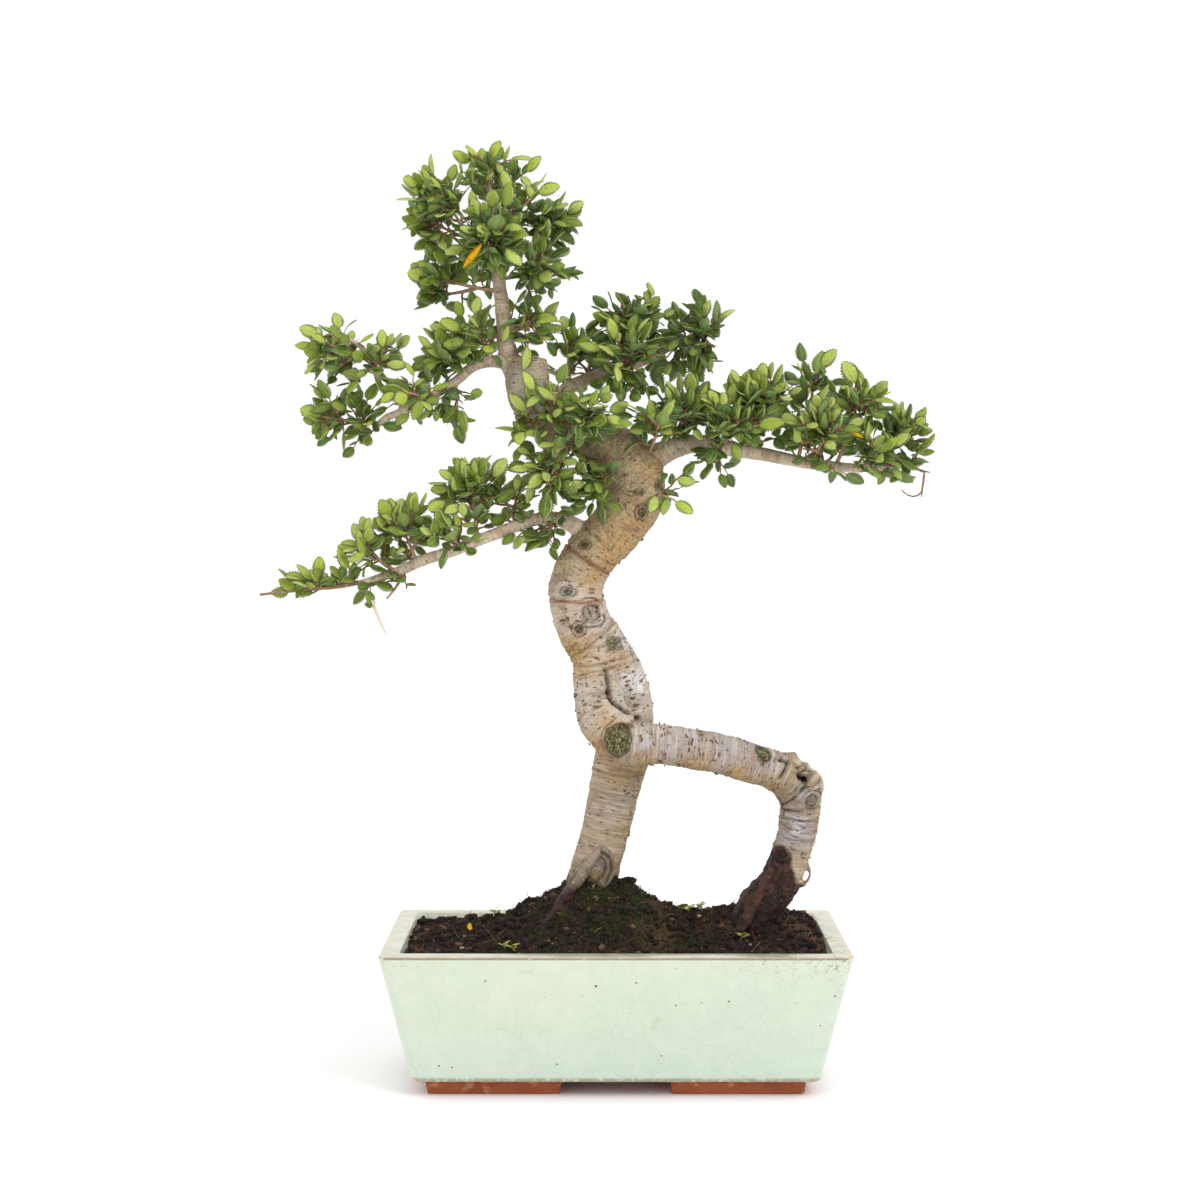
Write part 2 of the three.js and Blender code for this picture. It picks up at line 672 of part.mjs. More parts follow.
// Rounded heap: centre, height over the level, and spread along and across the pot
const HEAPS = [
  { x: -16, y: 4, height: 34, spreadX: 34, spreadY: 42 },
  { x: -54, y: 10, height: 14, spreadX: 32, spreadY: 32 },
  { x: 18, y: 8, height: 13, spreadX: 26, spreadY: 26 },
  { x: 62, y: 20, height: 15, spreadX: 38, spreadY: 30 },
  { x: 108, y: 16, height: 14, spreadX: 28, spreadY: 40 },
  { x: -100, y: 10, height: 6, spreadX: 30, spreadY: 34 },
];

// A repeatable roughness from a place
function grain(x, y) {
  const wave = Math.sin(x * 12.9898 + y * 78.233) * 43758.5453;
  return wave - Math.floor(wave) - 0.5;
}

function soilHeight(x, y) {
  let height = SOIL_LEVEL;
  for (const heap of HEAPS) {
    const dx = (x - heap.x) / heap.spreadX;
    const dy = (y - heap.y) / heap.spreadY;
    height += heap.height * Math.exp(-(dx * dx + dy * dy));
  }
  const [wallX, wallY] = cavityHalf(POT_TOP, 0);
  const edge = Math.min((wallX - Math.abs(x)) / 22, (wallY - Math.abs(y)) / 16, 1);
  const highest = POT_TOP - 4 + Math.max(edge, 0) * 60;
  return Math.min(height, highest);
}

// The room inside the pot that the soil fills, clear of its walls and floor
function cavityCore() {
  const gap = 2 * CLEARANCE;
  const bottom = FLOOR_TOP + CLEARANCE;
  const rims = [bottom, POT_TOP, SOIL_CEILING];
  return loft(rims.map((z) => {
    const [halfX, halfY] = cavityHalf(Math.min(z, POT_TOP), gap);
    return roundedRectangle(halfX, halfY, 4, z);
  }));
}

function buildSoil(grownWood, hardware) {
  const block = new THREE.BoxGeometry(POT_LENGTH, POT_DEPTH, POT_TOP, SOIL_COLUMNS, SOIL_ROWS, 1);
  const place = block.getAttribute('position');
  for (let i = 0; i < place.count; i += 1) {
    const x = place.getX(i);
    const y = place.getY(i);
    if (place.getZ(i) > 0) place.setZ(i, soilHeight(x, y) + 2 * SOIL_GRAIN * grain(x, y));
  }
  let soil = solidOf(block).intersect(cavityCore()).subtract(grownWood);
  for (const piece of hardware) soil = soil.subtract(piece);
  return soil.decompose().sort((a, b) => b.volume() - a.volume())[0];
}

// The whole bonsai

const group = new THREE.Group();
const wood = buildWood(0);
const grownWood = buildWood(CLEARANCE);
const hardware = [];

group.add(meshOf('pot', buildPot(), COLOURS.glaze));
[-DRAIN_X, DRAIN_X].forEach((x, i) => {
  const wire = sampleLine(clipPath(x), WIRE_STEP);
  const clip = tube(wire, WIRE_SIDES);
  const roomForClip = tube(wire, WIRE_SIDES, 2 * CLEARANCE);
  group.add(meshOf(`drainage_mesh_${i + 1}`, buildDrainageMesh(x), COLOURS.plastic));
  group.add(meshOf(`mesh_clip_${i + 1}`, clip, COLOURS.wire));
  const top = FLOOR_TOP + MESH_THICKNESS + 3 * CLEARANCE;
  hardware.push(box(x, 0, top / 2, MESH_SIZE + 2 * CLEARANCE, MESH_SIZE + 2 * CLEARANCE, top));
  hardware.push(roomForClip);
});
group.add(meshOf('soil', buildSoil(grownWood, hardware), COLOURS.soil));
group.add(meshOf('trunk', wood, COLOURS.bark));
for (const spray of buildSprays(grownWood)) {
  group.add(meshOf(spray.name, spray.solid, COLOURS.leaf));
}

const bounds = new THREE.Box3().setFromObject(group);
group.position.set(-(bounds.min.x + bounds.max.x) / 2, -(bounds.min.y + bounds.max.y) / 2, -bounds.min.z);

export default group;
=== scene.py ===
"""A Chinese elm bonsai with a striding trunk, in a glazed rectangular pot on corner feet.

Metres in the scene. The growth lists below are in millimetres about the middle of the pot.
"""

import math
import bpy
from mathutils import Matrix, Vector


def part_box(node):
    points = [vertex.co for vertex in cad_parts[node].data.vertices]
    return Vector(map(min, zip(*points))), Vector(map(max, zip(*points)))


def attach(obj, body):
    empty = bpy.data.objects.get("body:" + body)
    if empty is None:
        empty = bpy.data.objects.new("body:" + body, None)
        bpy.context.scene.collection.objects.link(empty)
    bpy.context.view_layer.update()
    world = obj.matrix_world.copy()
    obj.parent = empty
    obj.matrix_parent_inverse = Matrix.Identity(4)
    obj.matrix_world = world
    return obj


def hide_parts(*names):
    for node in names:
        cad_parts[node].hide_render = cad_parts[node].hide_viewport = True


bl_info = {
    "name": "Elm Bonsai",
    "version": (1, 0, 0),
    "blender": (4, 5, 0),
    "location": "View3D > Sidebar > Elm Bonsai",
    "description": "Builds an elm bonsai in its pot, piece by piece",
    "category": "Add Mesh",
}

import bmesh
import bpy
import numpy as np
from bpy.props import FloatProperty, FloatVectorProperty, IntProperty, PointerProperty
from mathutils import Matrix, Vector, noise
from mathutils.bvhtree import BVHTree

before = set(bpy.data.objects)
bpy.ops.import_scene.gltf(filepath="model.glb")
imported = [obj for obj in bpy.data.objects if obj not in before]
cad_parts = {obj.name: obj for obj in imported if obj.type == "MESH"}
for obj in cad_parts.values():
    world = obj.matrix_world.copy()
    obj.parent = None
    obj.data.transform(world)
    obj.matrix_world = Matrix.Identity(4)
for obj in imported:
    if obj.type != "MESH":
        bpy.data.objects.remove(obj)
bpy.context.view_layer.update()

MM = 0.001
UP = np.array([0.0, 0.0, 1.0])
POT_LOW, POT_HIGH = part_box("pot")
POT_CENTRE = np.array([(POT_LOW.x + POT_HIGH.x) / 2, (POT_LOW.y + POT_HIGH.y) / 2, 0.0])

# Pot, in millimetres
POT_LENGTH = 300.0
POT_DEPTH = 148.0
POT_TOP = 95.0
POT_BOTTOM = 10.0
POT_TAPER = 19.0
RIM_WIDTH = 13.0
WALL = 11.0
FLOOR_TOP = 22.0
CORNER_RADIUS = 7.0
INNER_RADIUS = 4.5
FOOT_INNER_X = 34.0
FOOT_OUTER_X = 123.0
FOOT_OUTER_Y = 48.0
FOOT_BAR = 20.0
FOOT_RETURN = 12.0
DRAIN_X = 72.0
DRAIN_RADIUS = 12.5
# Rounded edges of the pot: height, radius, number of steps
ROUNDINGS = ((POT_TOP, 1.8, 4), (POT_BOTTOM, 2.4, 4), (FLOOR_TOP, 3.0, 3))

# Soil, in millimetres
SOIL_LEVEL = 89.0
# Roughness of the soil: size across, slice of the noise, height
SOIL_LUMPS = ((17, 3.1, 3.4), (6, 7.7, 2.8), (2.6, 1.3, 1.6))
PEBBLES = 26
# Heaps: x, y, rise, spread in x and in y
HEAPS = [
    (-16, 4, 34, 34, 42), (-54, 10, 14, 32, 32), (18, 8, 13, 26, 26), (62, 20, 15, 38, 30),
    (108, 16, 14, 28, 40), (-100, 10, 6, 30, 34), (-6, -16, 9, 26, 20), (11, -3, 6, 4.5, 5),
]

# Foliage, in millimetres
LEAF_LENGTH = 17.0
STATION_GAP = 13.0
TWIG_RADIUS = 1.1
# Gap between the leaves of a shoot, in the solids and here
LEAF_GAP = 6.2
LEAF_STEP = 5.2
# Depth from which the foliage faces backwards, and how far it leans outwards
BACK_FROM = 12.0
FACE_OUT = 0.9
# A filling stem that is shorter than this is one shoot; a longer one has side shoots of this reach
SHORT_REACH = 26.0
FILLER_REACH = 18
# How far the last leaf of a filling shoot reaches past its twig
LEAF_PAST_END = 6

# What is added to the number of a spray or a filling shoot to seed its draws
SPRAY_SEED = 500
FILLER_SEED = 900

# Seeds of what is scattered
CRUMB_SEED = 31
FIBRE_SEED = 47
PEBBLE_SEED = 53
MOSS_SEED = 61
CORK_SEED = 71
GROWTH_SEED = 83

# Studio, in metres, but the camera's place in millimetres about the pot
LIGHTS = {"key": ((1.35, -1.35, 1.75), 1.2), "fill": ((-1.6, -0.9, 1.0), 1.4)}
LIGHT_AIM = Vector((0, 0, 0.32))
FLOOR_SIZE = 8
CAMERA_PLACE = (-7.5, -1312.0, 383.0)
CAMERA_LENS = 60
CAMERA_PITCH = math.radians(2.95)
CAMERA_YAW = -0.0021

# Woody limbs: points along each centre line, as x, y, z and radius
LIMBS = {
    "trunk": [
        (-2, 2, 256, 17), (-4, 1, 268, 19), (-12, 0, 284, 20), (-20, 0, 297, 19), (-24, 0, 309, 18.6),
        (-26, 0, 323, 18), (-22, 0, 336, 18), (-12, 0, 350, 18), (1, 0, 364, 18.5), (11, 0, 381, 20.5),
        (11, 0, 398, 20.5), (-1, 2, 414, 17), (-23, 3, 426, 14.5), (-44, 2, 434, 13.5),
        (-56, 0, 447, 13.5), (-58, 0, 463, 15.2), (-57, 0, 474, 12.5),
    ],
    "rearLeg": [
        (-15, 0, 302, 12), (-7, 0, 286, 14), (4, 5, 262, 16.5),
        (8, 10, 236, 18), (5, 12, 211, 18.6), (0, 10, 192, 17),
        (-5, 9, 168, 16.2), (-12, 8, 142, 16), (-17, 8, 122, 17), (-22, 8, 100, 17), (-26, 8, 80, 13),
    ],
    "frontLeg": [
        (-18, -1, 304, 12), (-14, -3, 284, 14), (-12, -11, 258, 16), (-7, -19, 239, 17), (5, -23, 225, 15),
        (28, -23, 223, 13.8), (54, -19, 219, 13.2), (81, -13, 212, 13.2),
        (103, -8, 204, 13), (117, -5, 195, 14),
        (122, -3, 183, 13.4), (121, -2, 169, 12.8), (117, 1, 150, 12.6), (110, 3, 130, 12.8),
        (97, 5, 112, 15), (90, 6, 98, 15), (87, 6, 82, 12),
    ],
    "frontRoot": [
        (-7, -5, 148, 2.4), (-10, -9, 151, 3), (-16, -11, 145, 3.6), (-22, -13, 135, 3.8),
        (-31, -15, 123, 3.6), (-40, -18, 111, 3.4), (-50, -20, 98, 3),
    ],
    "lowRoot": [
        (-9, -9, 151, 3), (-4, -9, 146, 3.2), (-4, -10, 138, 3.4), (-8, -11, 130, 3.4), (-15, -13, 126, 3.2),
    ],
    "thinRoot": [(-19, -7, 143, 1.6), (-27, -9, 133, 2.2), (-37, -12, 119, 2.2), (-47, -14, 106, 2)],
    "rightRoot": [(-9, 14, 128, 6), (7, 18, 118, 5), (23, 24, 106, 3.5)],
    "kneeRoot": [
        (103, -6, 139, 1.6), (98, -8, 130, 3), (93, -10, 119, 3.6), (86, -11, 106, 4), (78, -12, 94, 3),
    ],
    "curlRoot": [
        (116, 3, 148, 2), (124, 1, 144, 1.4), (128, 0, 138, 1.2),
        (128, 0, 131, 1.2), (121, 1, 125, 1.4), (111, 2, 120, 2),
    ],
    "leader": [
        (-63, 0, 460, 9), (-69, -2, 471, 7), (-72, -4, 488, 5.4), (-74, -4, 508, 5), (-76, -2, 524, 4.6),
        (-76, 2, 541, 4), (-78, 4, 560, 3.2), (-81, 2, 579, 2.4), (-83, 0, 596, 1.6),
    ],
    "upperLeft": [
        (-59, 0, 466, 6), (-77, -6, 471, 4.4), (-91, -12, 468, 3.8),
        (-104, -16, 457, 3.4), (-120, -20, 447, 3.2),
        (-136, -22, 438, 3), (-147, -24, 434, 2.6), (-155, -25, 427, 1.8),
    ],
    "upperShoot": [
        (-133, -22, 440, 2.6), (-150, -24, 453, 2.2), (-157, -26, 471, 2),
        (-166, -28, 481, 1.8), (-175, -29, 484, 1.4),
    ],
    "lowerLeft": [
        (-11, 0, 352, 9), (-25, -4, 363, 6), (-39, -12, 369, 4.8), (-54, -18, 368, 4.3), (-75, -24, 360, 4.1),
        (-89, -28, 355, 4), (-103, -32, 349, 3.9), (-122, -34, 343, 3.7),
        (-140, -36, 335, 3.4), (-153, -38, 331, 2.6),
        (-166, -40, 328, 1.6),
    ],
    "right": [
        (7, 0, 400, 14), (25, 1, 409, 9), (42, 4, 416, 6.6),
        (55, 6, 418, 6.2), (80, 10, 414, 5.2), (99, 12, 411, 4.6),
        (118, 14, 407, 4.2), (136, 14, 404, 3.8), (161, 12, 402, 3.2), (184, 10, 403, 2), (193, 9, 403, 1.5),
    ],
    "upperRight": [
        (-43, 2, 440, 8), (-35, 12, 452, 5), (-11, 18, 464, 4.2),
        (16, 22, 472, 3.6), (39, 24, 484, 2.8), (55, 24, 490, 1.8),
    ],
    "midTwig": [(-1, 18, 467, 3), (5, 22, 480, 2.4), (11, 22, 495, 1.6)],
    "kneeLip": [
        (108, -10, 209, 4.6), (118, -12, 207, 3.4), (127, -11, 203.4, 2.8), (131.5, -8.5, 200, 2.8),
        (134, -6, 196, 2.8), (132, -5, 189, 3.6),
    ],
    "kneeCurl": [
        (121, -16.5, 202, 1.2), (124.5, -17.5, 201, 1.3), (126.5, -17, 197.5, 1.2), (126.5, -16, 194, 1.3),
    ],
}

# Sprays: the limb and the place along it where the stem leaves, the reach of its side shoots,
# and the tips of its stem and of the fork that leaves the stem low down
SPRAYS = [
    ("leader", 0.62, 26, (-141, -8, 571), (-123, -26, 592)),
    ("leader", 0.86, 22, (-96, -8, 609)),
    ("leader", 0.82, 26, (-64, 16, 608), (-81, 36, 590)),
    ("leader", 0.74, 26, (-43, -18, 582), (-24, 6, 562)),
    ("leader", 0.48, 25, (-25, -20, 532), (-33, 22, 521)),
    ("leader", 0.42, 24, (-134, -14, 528), (-133, 18, 514)),
    ("leader", 0.66, 26, (-88, -52, 546)),
    ("leader", 0.7, 28, (-70, 54, 569)),
    ("leader", 0.55, 26, (-111, 50, 544)),
    ("leader", 0.16, 24, (-113, -26, 495), (-82, -46, 480)),
    ("leader", 0.24, 22, (-39, -18, 502)),
    ("leader", 0.2, 24, (-60, 40, 503)),
    ("upperLeft", 0.96, 22, (-203, -34, 436), (-172, -18, 422)),
    ("upperShoot", 0.66, 24, (-200, -38, 486), (-187, 4, 461)),
    ("upperShoot", 0.5, 22, (-151, -44, 481)),
    ("upperLeft", 0.38, 26, (-120, -6, 481)),
    ("upperLeft", 0.6, 26, (-137, -66, 448)),
    ("upperLeft", 0.68, 28, (-149, 26, 461)),
    ("upperLeft", 0.46, 20, (-100, -30, 423)),
    ("lowerLeft", 0.97, 16, (-220, -44, 323)),
    ("lowerLeft", 0.8, 18, (-154, -50, 305)),
    ("lowerLeft", 0.84, 24, (-171, -50, 362)),
    ("lowerLeft", 0.76, 26, (-146, -28, 381), (-127, 18, 368)),
    ("lowerLeft", 0.52, 24, (-96, -40, 410)),
    ("lowerLeft", 0.36, 24, (-82, -8, 404)),
    ("lowerLeft", 0.58, 26, (-103, -74, 358)),
    ("lowerLeft", 0.2, 18, (-59, -36, 345)),
    ("trunk", 0.87, 24, (-64, -46, 415)),
    ("trunk", 0.8, 26, (-40, -58, 453), (-5, -60, 444)),
    ("trunk", 0.74, 24, (-53, -56, 390)),
    ("trunk", 0.66, 22, (-13, -50, 380)),
    ("right", 0.06, 24, (32, -44, 441)),
    ("upperRight", 0.97, 24, (69, 30, 511), (60, 0, 486)),
    ("midTwig", 0.95, 24, (27, 14, 516), (0, 28, 507)),
    ("upperRight", 0.2, 26, (-32, 10, 502)),
    ("upperRight", 0.5, 26, (16, -28, 481)),
    ("upperRight", 0.75, 28, (24, 72, 503)),
    ("upperRight", 0.32, 28, (-17, 56, 483)),
    ("right", 0.86, 20, (209, 0, 405), (199, 18, 441)),
    ("right", 0.75, 24, (165, 2, 471)),
    ("right", 0.62, 24, (137, 24, 481)),
    ("right", 0.44, 26, (99, -14, 466)),
    ("right", 0.16, 26, (54, 2, 459)),
    ("right", 0.82, 24, (178, -38, 419)),
    ("right", 0.66, 26, (140, -44, 434)),
    ("right", 0.34, 26, (84, -42, 438)),
    ("right", 0.7, 28, (158, 58, 425)),
    ("right", 0.4, 28, (99, 60, 436)),
    ("right", 0.3, 20, (76, -16, 399)),
    ("trunk", 0.56, 16, (50, -34, 376)),
]

# Limbs that bear leafy shoots, and the tips of the shoots that fill the crown between the sprays
BEARING_LIMBS = ("leader", "upperLeft", "upperShoot", "lowerLeft", "right", "upperRight", "midTwig")
FILLERS = [
    # Round the leader
    (-133, -20, 591), (-138, -15, 574), (-122, -25, 580), (-133, -15, 534), (-134, -10, 518),
    (-118, -25, 525), (-70, -35, 555), (-55, -25, 537), (-61, -35, 546), (-44, -15, 567), (-28, -5, 558),
    (-31, -5, 533), (-80, -35, 574), (-95, -40, 561), (-86, -42, 542), (-102, -35, 539), (-70, -38, 531),
    (-112, -30, 556), (-68, -25, 582), (-93, -20, 592), (-49, -5, 588), (-105, -30, 575), (-103, -20, 503),
    (-113, -15, 491), (-90, -30, 489), (-58, -20, 493), (-52, -10, 510), (-93, -25, 477), (-55, -25, 477),
    (-94, -6, 607), (-80, -4, 606), (-62, 2, 607),
    # Upper left bough
    (-141, -25, 485), (-125, -25, 480), (-114, -10, 488), (-112, -30, 470), (-131, -35, 464),
    (-156, -35, 476), (-176, -30, 486), (-174, -25, 419), (-183, -25, 429), (-160, -35, 429),
    (-135, -25, 432), (-119, -30, 442), (-104, -15, 429), (-205, -30, 438), (-188, -35, 451),
    (-167, -45, 454), (-146, -45, 447), (-112, -35, 454),
    # Lower left bough
    (-104, -20, 407), (-86, -20, 410), (-75, -20, 397), (-118, -30, 386), (-130, -35, 381), (-93, -40, 387),
    (-108, -50, 368), (-79, -45, 381), (-156, -30, 378), (-146, -45, 365), (-162, -45, 356),
    (-171, -50, 343), (-133, -55, 362), (-201, -40, 333), (-214, -40, 327), (-188, -45, 334),
    (-168, -50, 334), (-155, -45, 318), (-143, -50, 324), (-61, -30, 352), (-52, -30, 355), (-43, -45, 381),
    (-26, -48, 386), (-10, -48, 378), (-55, -30, 371), (-36, -40, 368), (-61, -35, 386),
    # In front of the trunk
    (-69, -20, 427), (-65, -25, 410), (-48, -40, 419), (-54, -35, 400), (-35, -50, 409), (-20, -45, 419),
    (-43, -35, 437), (-28, -35, 446), (-11, -45, 432), (-36, -20, 461), (-17, -20, 465), (-1, -10, 478),
    (-6, -10, 459), (1, -30, 442), (15, -30, 429), (10, 35, 458),
    # Upper right bough
    (-36, 0, 501), (-23, -10, 488), (-8, -5, 499), (-26, -15, 476), (-46, -15, 481), (-10, 0, 482),
    (9, -5, 495), (25, -10, 497), (42, -5, 496), (16, 0, 511), (34, 5, 518), (55, 10, 512), (11, 0, 471),
    (29, 8, 478), (50, 8, 475), (26, 30, 464),
    # Right bough
    (70, 5, 473), (86, 0, 467), (21, -22, 450), (40, -18, 457), (59, -22, 458), (79, -20, 456),
    (33, -28, 437), (52, -28, 440), (70, -30, 437), (47, -30, 426), (56, 30, 458), (83, 25, 447),
    (55, -8, 401), (73, -6, 395), (96, -20, 455), (112, -15, 462), (124, 0, 472), (137, 5, 473),
    (153, 0, 463), (167, 5, 466), (175, -10, 446), (188, -5, 440), (202, 0, 427), (183, -20, 420),
    (162, -30, 426), (143, -35, 432), (123, -38, 435), (104, -38, 432), (88, -35, 435), (157, -25, 410),
    (177, -20, 404), (194, -10, 410), (137, -30, 445), (114, -30, 448), (156, -25, 445),
    # Denser places: the join of the boughs, the inside of the head, and between the boughs
    (-41, -30, 383), (-32, -34, 376), (-23, -40, 381), (-15, -40, 373), (-26, -45, 389), (-36, -40, 392),
    (4, -5, 447), (16, 0, 454), (26, 0, 448), (21, -10, 439), (9, -20, 440), (-1, -15, 455), (32, 10, 460),
    (13, -15, 461), (59, 10, 456), (68, 5, 460), (77, 0, 464), (52, 10, 465), (63, 10, 468),
    (-64, -40, 531), (-57, -35, 535), (-52, 0, 596), (-44, -10, 581), (-98, -8, 605), (-42, -30, 551),
    (-72, -60, 553), (-78, -60, 539), (-67, -55, 568), (-74, -55, 529), (-23, 0, 499), (-14, 0, 501),
    (-5, 5, 505), (-62, 10, 509), (-85, 10, 507), (-83, -20, 495), (-33, -10, 491), (-152, -25, 481),
    (-140, -25, 480), (-126, -20, 477), (-169, -35, 421), (-159, -35, 419), (-103, -15, 424),
    (-114, -15, 429), (-182, -30, 480), (-193, -35, 470), (-185, -35, 450), (-126, -25, 448),
    (-90, -30, 404), (-84, -30, 400), (-111, -45, 364), (-98, -45, 367), (-85, -45, 371), (-175, -45, 361),
    (-170, -45, 352), (-189, -45, 335), (-178, -45, 337), (-157, -50, 314), (-152, -50, 319),
    (-162, -45, 343), (-134, -45, 368), (-125, -40, 378), (-74, -35, 382), (-68, -25, 419), (-62, -25, 429),
    (-35, -48, 419), (-23, -48, 426), (-10, -50, 419), (-29, -50, 406), (-1, -40, 429), (-43, -40, 433),
    (-16, -50, 406), (-48, -45, 400), (106, -20, 415), (188, -5, 438), (201, -5, 430), (205, -5, 417),
    (36, -25, 403), (44, -25, 402), (32, -10, 381), (94, -10, 443), (112, -20, 432), (131, -20, 439),
    (157, -20, 420), (172, -10, 410), (79, -35, 426), (53, -35, 429), (-18, -30, 374), (-10, -25, 378),
    (-25, -30, 372), (24, 5, 452), (28, 0, 456), (20, 0, 446), (50, 5, 456), (58, 0, 454), (66, 0, 453),
    (72, 0, 456), (-22, 10, 498), (-12, 10, 499), (-4, 10, 496), (40, 15, 508), (52, 15, 506),
    (60, 10, 507), (66, 10, 504), (82, 5, 470), (90, 0, 468), (76, 5, 471), (-200, -30, 478),
    (-196, -32, 486), (-204, -30, 470), (-158, -25, 484), (-148, -25, 484), (-136, -20, 482),
    (-128, -20, 480), (-140, -20, 472), (-132, -10, 540), (-136, -10, 530), (-130, -10, 520),
    (-136, -5, 592), (-138, -5, 574), (-132, -5, 598), (-96, 0, 606), (-100, 0, 600), (-106, 5, 506),
    (-98, 5, 504), (-152, -40, 380), (-148, -40, 374), (-92, -30, 409), (-86, -30, 405), (-98, -30, 406),
    (-60, -35, 396), (-52, -35, 392), (-46, -38, 386), (-40, -38, 380), (-55, -38, 384), (-212, -44, 333),
    (-204, -44, 334), (-196, -44, 336), (-190, -45, 338), (-24, -8, 558), (-28, -8, 550), (-20, -5, 562),
    (203, -5, 432), (205, 0, 424),
]

# Gaps between the parts of the crown that no leaf grows into: x, z, radius
CLEARINGS = [
    (-81, 459, 7), (-83, 438, 12), (-76, 421, 5), (-103, 516, 7), (-123, 502, 6), (-29, 513, 9),
    (-17, 534, 5), (73, 482, 9), (62, 501, 4), (12, 521, 7), (47, 382, 5), (-135, 315, 9), (-69, 350, 5),
    (-44, 340, 4), (-198, 419, 8), (-206, 430, 4), (-208, 313, 7), (145, 413, 5), (-111, 594, 5),
    (-139, 556, 5), (11, 400, 11), (16, 378, 8), (-8, 353, 6), (26, 414, 6), (0, 388, 6), (20, 408, 7),
    (-48, 512, 5), (-112, 424, 7), (-55, 491, 5), (-35, 473, 5), (-126, 317, 7), (-146, 322, 4),
    (51, 373, 5), (62, 515, 4), (77, 494, 5), (150, 407, 6), (120, 412, 3), (71, 407, 5), (87, 404, 6),
    (97, 402, 6), (107, 400, 6), (118, 398, 6), (130, 396, 5),
]

# On the soil: leaves that fell, and seedlings that came up, as x and y
FALLEN_LEAVES = [(-96, -10), (100, 12), (-61, -48)]
SEEDLINGS = [(48, 8), (58, 12), (-65, -45), (103, 14), (-82, 12), (81, -22), (-71, -40)]

# Yellowed leaves: the piece, and the base and the tip of the leaf
YELLOW_LEAVES = [
    ("foliage_head_front", (-96.3, -46, 526.7), (-82.8, -48, 542.1)),
    ("foliage_right_outer", (148.4, -30, 427.0), (157.9, -33, 418.8)),
]

# Foliage is made in a few pieces, each for the sprays of one part of the crown
CROWN_PARTS = {
    "foliage_head_front": [1, 2, 5, 7, 10],
    "foliage_head_back": [3, 4, 6, 8, 9, 11, 12],
    "foliage_upper_left": [13, 14, 15, 16, 17, 18, 19],
    "foliage_lower_left_outer": [20, 21, 22, 23, 26],
    "foliage_lower_left_inner": [24, 25, 27, 30],
    "foliage_centre": [28, 29, 31, 32, 50],
    "foliage_upper_right": [33, 34, 35, 36, 37, 38],
    "foliage_right_inner": [42, 43, 46, 48, 49],
    "foliage_right_outer": [39, 40, 41, 44, 45, 47],
}


# Numbers and curves

def seeded(seed):
    """A repeatable draw of numbers from 0 to 1."""
    modulus = 2147483647
    state = (seed * 7919 + 17) % modulus
    while True:
        state = state * 48271 % modulus
        yield state / modulus


def unit(vector):
    return vector / np.linalg.norm(vector)


def bell(offset, width, power=2):
    """1 where there is no offset, falling to 0 past a width."""
    return np.exp(-(offset / width) ** power)


def smooth_step(low, high, value):
    share = np.clip((value - low) / (high - low), 0.0, 1.0)
    return share * share * (3 - 2 * share)


class Line:
    """A smooth centre line through points, with a radius at each."""

    def __init__(self, points):
        table = np.array(points, float)
        self.points = table[:, :3]
        self.radii = table[:, 3]
        self.count = len(points)
        shares = np.linspace(0, 1, 201)
        places = np.array([self.at(share) for share in shares])
        steps = np.linalg.norm(np.diff(places, axis=0), axis=1)
        self.lengths = np.concatenate([[0.0], np.cumsum(steps)])
        self.shares = shares
        self.length = self.lengths[-1]

    def at(self, share):
        """Centripetal curve through the points, by share of their number."""
        last = self.count - 1
        place = last * share
        first = min(int(math.floor(place)), last - 1)
        weight = place - first
        points = self.points
        before = points[first - 1] if first > 0 else 2 * points[0] - points[1]
        after = points[first + 2] if first + 2 <= last else 2 * points[last] - points[last - 1]
        start, end = points[first], points[first + 1]
        gap_0 = np.linalg.norm(start - before) ** 0.5
        gap_1 = np.linalg.norm(end - start) ** 0.5
        gap_2 = np.linalg.norm(after - end) ** 0.5
        slope_0 = (start - before) / gap_0 - (end - before) / (gap_0 + gap_1) + (end - start) / gap_1
        slope_1 = (end - start) / gap_1 - (after - start) / (gap_1 + gap_2) + (after - end) / gap_2
        slope_0 = slope_0 * gap_1
        slope_1 = slope_1 * gap_1
        square = -3 * start + 3 * end - 2 * slope_0 - slope_1
        cube = 2 * start - 2 * end + slope_0 + slope_1
        return start + slope_0 * weight + square * weight ** 2 + cube * weight ** 3

    def share_at_length(self, part):
        return float(np.interp(part * self.length, self.lengths, self.shares))

    def place(self, part):
        """Point at a part of the length, from 0 to 1."""
        return self.at(self.share_at_length(part))

    def radius(self, part):
        place = self.share_at_length(part) * (self.count - 1)
        return float(np.interp(place, np.arange(self.count), self.radii))

    def samples(self, step):
        count = max(2, round(self.length / step))
        parts = np.linspace(0, 1, count + 1)
        points = np.array([self.place(part) for part in parts])
        radii = np.array([self.radius(part) for part in parts])
        return points, radii, parts * self.length


LINES = {name: Line(points) for name, points in LIMBS.items()}


def turned_frames(points):
    """Along, across and other directions at each point, carried along without twisting."""
    before = np.vstack([points[:1], points[:-1]])
    after = np.vstack([points[1:], points[-1:]])
    along = after - before
    along /= np.linalg.norm(along, axis=1)[:, None]
    across = np.array([1.0, 0.0, 0.0]) if abs(along[0][2]) > 0.9 else np.array([0.0, 0.0, 1.0])
    sides = []
    for tangent in along:
        across = unit(across - tangent * across.dot(tangent))
        sides.append(across)
    sides = np.array(sides)
    return along, sides, np.cross(along, sides)


# Meshes

NO_TONE = (0.0, 0.0, 0.0)


def write(target, key, values, kind=np.float32):
    """Sets one value, or one row of values, on each item of a mesh."""
    target.foreach_set(key, np.asarray(values).ravel().astype(kind))


def store(mesh, name, values):
    """Keeps three numbers for each vertex under a name."""
    write(mesh.attributes.new(name, "FLOAT_VECTOR", "POINT").data, "vector", values)


